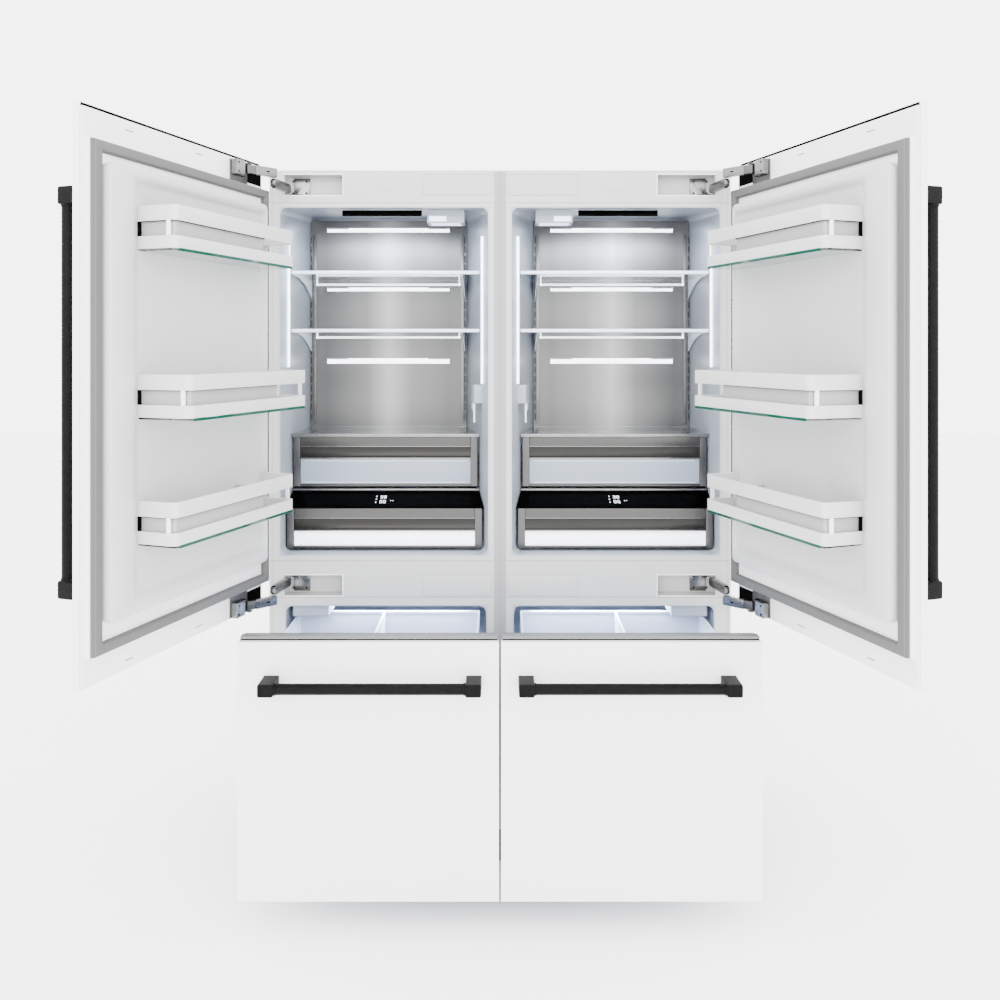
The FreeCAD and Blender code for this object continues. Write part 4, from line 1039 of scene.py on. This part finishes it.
def crispers():
    """Fronts with posts, band, grip with painted shade in its hollow and painted highlights on its
    lips, and window, the lower one glowing with painted light; frosted tubs behind them.
    """
    post, band, grip = 23 * MM, 33 * MM, 36 * MM
    for level, pane in (("upper", window_sheet), ("lower", painted_window_light)):
        lo, hi = shut_box(f"left_{level}_crisper_front")
        front, low = lo.y, lo.z
        band_low = hi.z - band
        grip_low = band_low - grip
        x0, x1 = lo.x + post, hi.x - post

        def between(inset, radius, segments, *spans):
            """Blocks from post to post, each by its span in depth and its span in height."""
            return block_mesh([
                ((x0 + inset, front + y0 * MM, z0), (x1 - inset, y1, z1))
                for y0, y1, z0, z1 in spans], radius, segments)

        posts = block_mesh([(lo, (x0, hi.y, hi.z)), ((x1, front, low), hi)], 1.6 * MM, 3)
        bands = between(0.3 * MM, 1.4 * MM, 3, (1, hi.y, band_low, hi.z),
                        (1, hi.y, low, low + 8 * MM))
        # Thin bright lips at the grip's foot and under the band: painted highlights.
        lip_highlights = between(
            0.3 * MM, 0.6 * MM, 2,
            (0.4, front + (hi.y - front) * 0.8, grip_low - 5 * MM, grip_low - 0.5 * MM),
            (0.3, front + 3 * MM, band_low + 0.4 * MM, band_low + 2.2 * MM))
        # The grip's hollow is dark with painted shade.
        hollow = bmesh.new()
        profile = grip_profile(front + MM, band_low - 0.3 * MM, grip_low, 10 * MM)
        add_prism(hollow, profile, x0 + 0.3 * MM, x1 - 0.3 * MM)
        hollow.transform(SIDEWAYS)
        face_out(hollow)
        window = between(0.4 * MM, 0.6 * MM, 2,
                         (5, front + 8 * MM, low + 8.3 * MM, grip_low - 5.3 * MM))
        ribs = between(14 * MM, 0.5 * MM, 1, *(
            (3.8, front + 5.2 * MM, z, z + 2 * MM) for z in (low + 12 * MM, grip_low - 12 * MM)))
        name = f"{level}_crisper"
        twins(posts, f"{name}_posts", name, post_steel, node=f"{name}_front", slot="duct_steel")
        for work, part, look, slot in (
                (bands, "bands", crisper_steel, "duct_steel"),
                (hollow, "grip", grip_painted_shade, "duct_steel"),
                (lip_highlights, "lip_highlights", lip_painted_highlight, "duct_steel"),
                (window, "window", pane, "frosted_plastic"),
                (ribs, "window_ribs", shelf_white, "frosted_plastic")):
            twins(work, f"{name}_{part}", name, look, slot=slot)
        for side in SIDES:
            refined(f"{side}_{name}_bin", f"{side}_{name}", frosted, MM)


def drawers():
    """Drawer body painted dark as shade, a dark sheet of painted shade in the seam over its panel,
    basket rim and slides.
    """
    for side in SIDES:
        dressed(f"{side}_freezer_basket", frosted)
        refined(f"{side}_drawer_slides", f"{side}_freezer_drawer", zinc, 0.8 * MM)
    lo, hi = DRAWER_BODY
    # The drawer body shows only in the gap over the panel, and is painted dark as its shade.
    twins(block_mesh([DRAWER_BODY], 2 * MM, 3), "drawer_shell_shade", "freezer_drawer", painted_shade_grey,
          "drawer_body", "white_frame")
    # Painted shade in the seam over the panel.
    seam_low = DRAWER_PANEL[1].z - 0.5 * MM
    seam = block_mesh([
        ((lo.x + 2 * MM, lo.y - 0.6 * MM, seam_low),
         (hi.x - 2 * MM, lo.y + MM, seam_low + 3.9 * MM))], 0.3 * MM, 1)
    twins(seam, "drawer_top_seam_shade", "freezer_drawer", gap_shade, slot="black_metal")
    lo, hi = shut_box("left_freezer_basket", DRAWER_REST)
    low, high = hi.z - 6 * MM, hi.z + 2 * MM
    x0, x1, front = lo.x + 0.5 * MM, hi.x - 0.5 * MM, lo.y + 4 * MM
    rim = block_mesh([
        ((x0, front, low), (lo.x + 5 * MM, hi.y, high)),
        ((hi.x - 5 * MM, front, low), (x1, hi.y, high)),
        ((x0, hi.y - 6 * MM, low), (x1, hi.y, high))], 1.5 * MM, 3)
    twins(rim, "basket_rim", "freezer_drawer", shelf_white, slot="frosted_plastic")


def rear_details():
    """Louvred cover of the machine space, pressed beads and screws on back and sides."""
    lo, hi = CASING
    back = hi.y
    slats, beads, screws = [bmesh.new() for _ in range(3)]
    for rise in range(14, 215, 15):
        slat = block_mesh([
            ((lo.x + 12 * MM, -0.8 * MM, -5 * MM), (hi.x - 12 * MM, 0.8 * MM, 5 * MM))],
            0.6 * MM, 1)
        slat.transform(Matrix.Translation((0, back - 6 * MM, lo.z + rise * MM))
                       @ Matrix.Rotation(math.radians(32), 4, "X"))
        join(slats, slat)
    for x in (lo.x + 3 * MM, (lo.x + hi.x) / 2 - 6 * MM, hi.x - 15 * MM):
        add_block(slats, (x, back - 5 * MM, lo.z + 3 * MM),
                  (x + 12 * MM, back - 1.5 * MM, lo.z + 233 * MM))
    twins(slats, "machine_grille", "cabinet", black_plastic, slot="cooling_metal")
    for x in (lo.x + 24 * MM, hi.x - 24 * MM):
        for k in range(8):
            z = lo.z + (260 + k * 250) * MM
            add_tube(screws, (x, back - 3 * MM, z), (x, back - 0.2 * MM, z), 5 * MM, 20)
    side_screw_y = 585 * MM
    for k in range(6):
        z = lo.z + (60 + k * 390) * MM
        add_tube(screws, (lo.x + MM, side_screw_y, z), (lo.x - 1.4 * MM, side_screw_y, z),
                 5 * MM, 20)
    soften(screws, 0.8 * MM, 2, 50.0)
    x = lo.x + 0.6 * MM
    for y in (180 * MM, 330 * MM, 480 * MM):
        add_tube(beads, (x, y, lo.z + 120 * MM), (x, y, hi.z - 120 * MM), 3 * MM, 16)
    for pair in (480, 940, 1400, 1860):
        for z in (pair * MM, (pair + 40) * MM):
            add_tube(beads, (lo.x + 70 * MM, back - 2.8 * MM, z),
                     (hi.x - 70 * MM, back - 2.8 * MM, z), 2.6 * MM, 16)
    cover = block_mesh([
        ((lo.x + 250 * MM, back - 3 * MM, hi.z - 210 * MM),
         (hi.x - 250 * MM, back - 0.2 * MM, hi.z - 110 * MM))], 0.6 * MM)
    twins(cover, "wiring_cover", "cabinet", zinc, slot="casing_steel")
    twins(screws, "casing_screws", "cabinet", zinc, slot="runner_steel")
    twins(beads, "casing_beads", "cabinet", casing_steel, slot="casing_steel")


# --- stage, camera, light ---

def stage():
    floor = bpy.data.meshes.new("floor")
    work = bmesh.new()
    bmesh.ops.create_grid(work, x_segments=1, y_segments=1, size=14)
    work.to_mesh(floor)
    work.free()
    ground = bpy.data.objects.new("floor", floor)
    link(ground)
    look = Look("studio_floor", Roughness=0.9)
    look.colours(look.noise(0.6), (0.3, grey(0.93)), (0.7, grey(0.94)))
    floor.materials.append(look.material)


def area(name, place, aim, size, power, colour=(1, 1, 1)):
    light = bpy.data.lights.new(name, "AREA")
    light.shape = "RECTANGLE"
    light.size, light.size_y = size
    light.energy = power
    light.color = colour
    holder = bpy.data.objects.new(name, light)
    holder.location = place
    holder.rotation_euler = (Vector(aim) - Vector(place)).to_track_quat("-Z", "Y").to_euler()
    link(holder)


def lighting():
    world = bpy.data.worlds.new("studio")
    bpy.context.scene.world = world
    world.use_nodes = True
    background = world.node_tree.nodes["Background"]
    background.inputs["Color"].default_value = (1, 1, 1, 1)
    background.inputs["Strength"].default_value = 6.0
    area("key", (-1.2, -5.5, 3.8), (0, 0, 1.2), (3.0, 2.0), 180)
    area("fill", (2.4, -4.8, 2.2), (0, 0, 1.1), (2.5, 2.5), 100)
    for sign in (-1, 1):
        area(f"fridge_lamp_{sign}", (sign * 0.38, 0.10, 2.03), (sign * 0.38, 0.30, 1.2),
             (0.5, 0.10), 7, (0.80, 0.87, 1.0))
        area(f"freezer_lamp_{sign}", (sign * 0.36, 0.10, 0.795), (sign * 0.36, -0.05, 0.5),
             (0.5, 0.08), 16, (0.78, 0.84, 1.0))


EYE_DISTANCE = 2.783
EYE_HEIGHT = 1.616
FOCAL_WIDTHS = 0.877
HORIZON_SHIFT = -0.150


def camera():
    data = bpy.data.cameras.new("view")
    data.sensor_width = 36.0
    data.lens = data.sensor_width * FOCAL_WIDTHS
    data.shift_y = HORIZON_SHIFT
    eye = bpy.data.objects.new("view", data)
    eye.location = (0, -EYE_DISTANCE, EYE_HEIGHT)
    eye.rotation_euler = (math.radians(90), 0, 0)
    link(eye)
    bpy.context.scene.camera = eye


camera()
lighting()
stage()
door_panels()
door_bodies()
seal("door_seal", GASKET, "door", "door_gasket", 28 * MM)
seal("drawer_seal", DRAWER_GASKET, "freezer_drawer", "drawer_gasket", 24 * MM)
door_liners()
door_bins()
bar_handles()
hinge_arms()
hinge_mounts()
cabinet_shell()
face_details()
interiors()
crispers()
drawers()
rear_details()

bpy.context.view_layer.update()
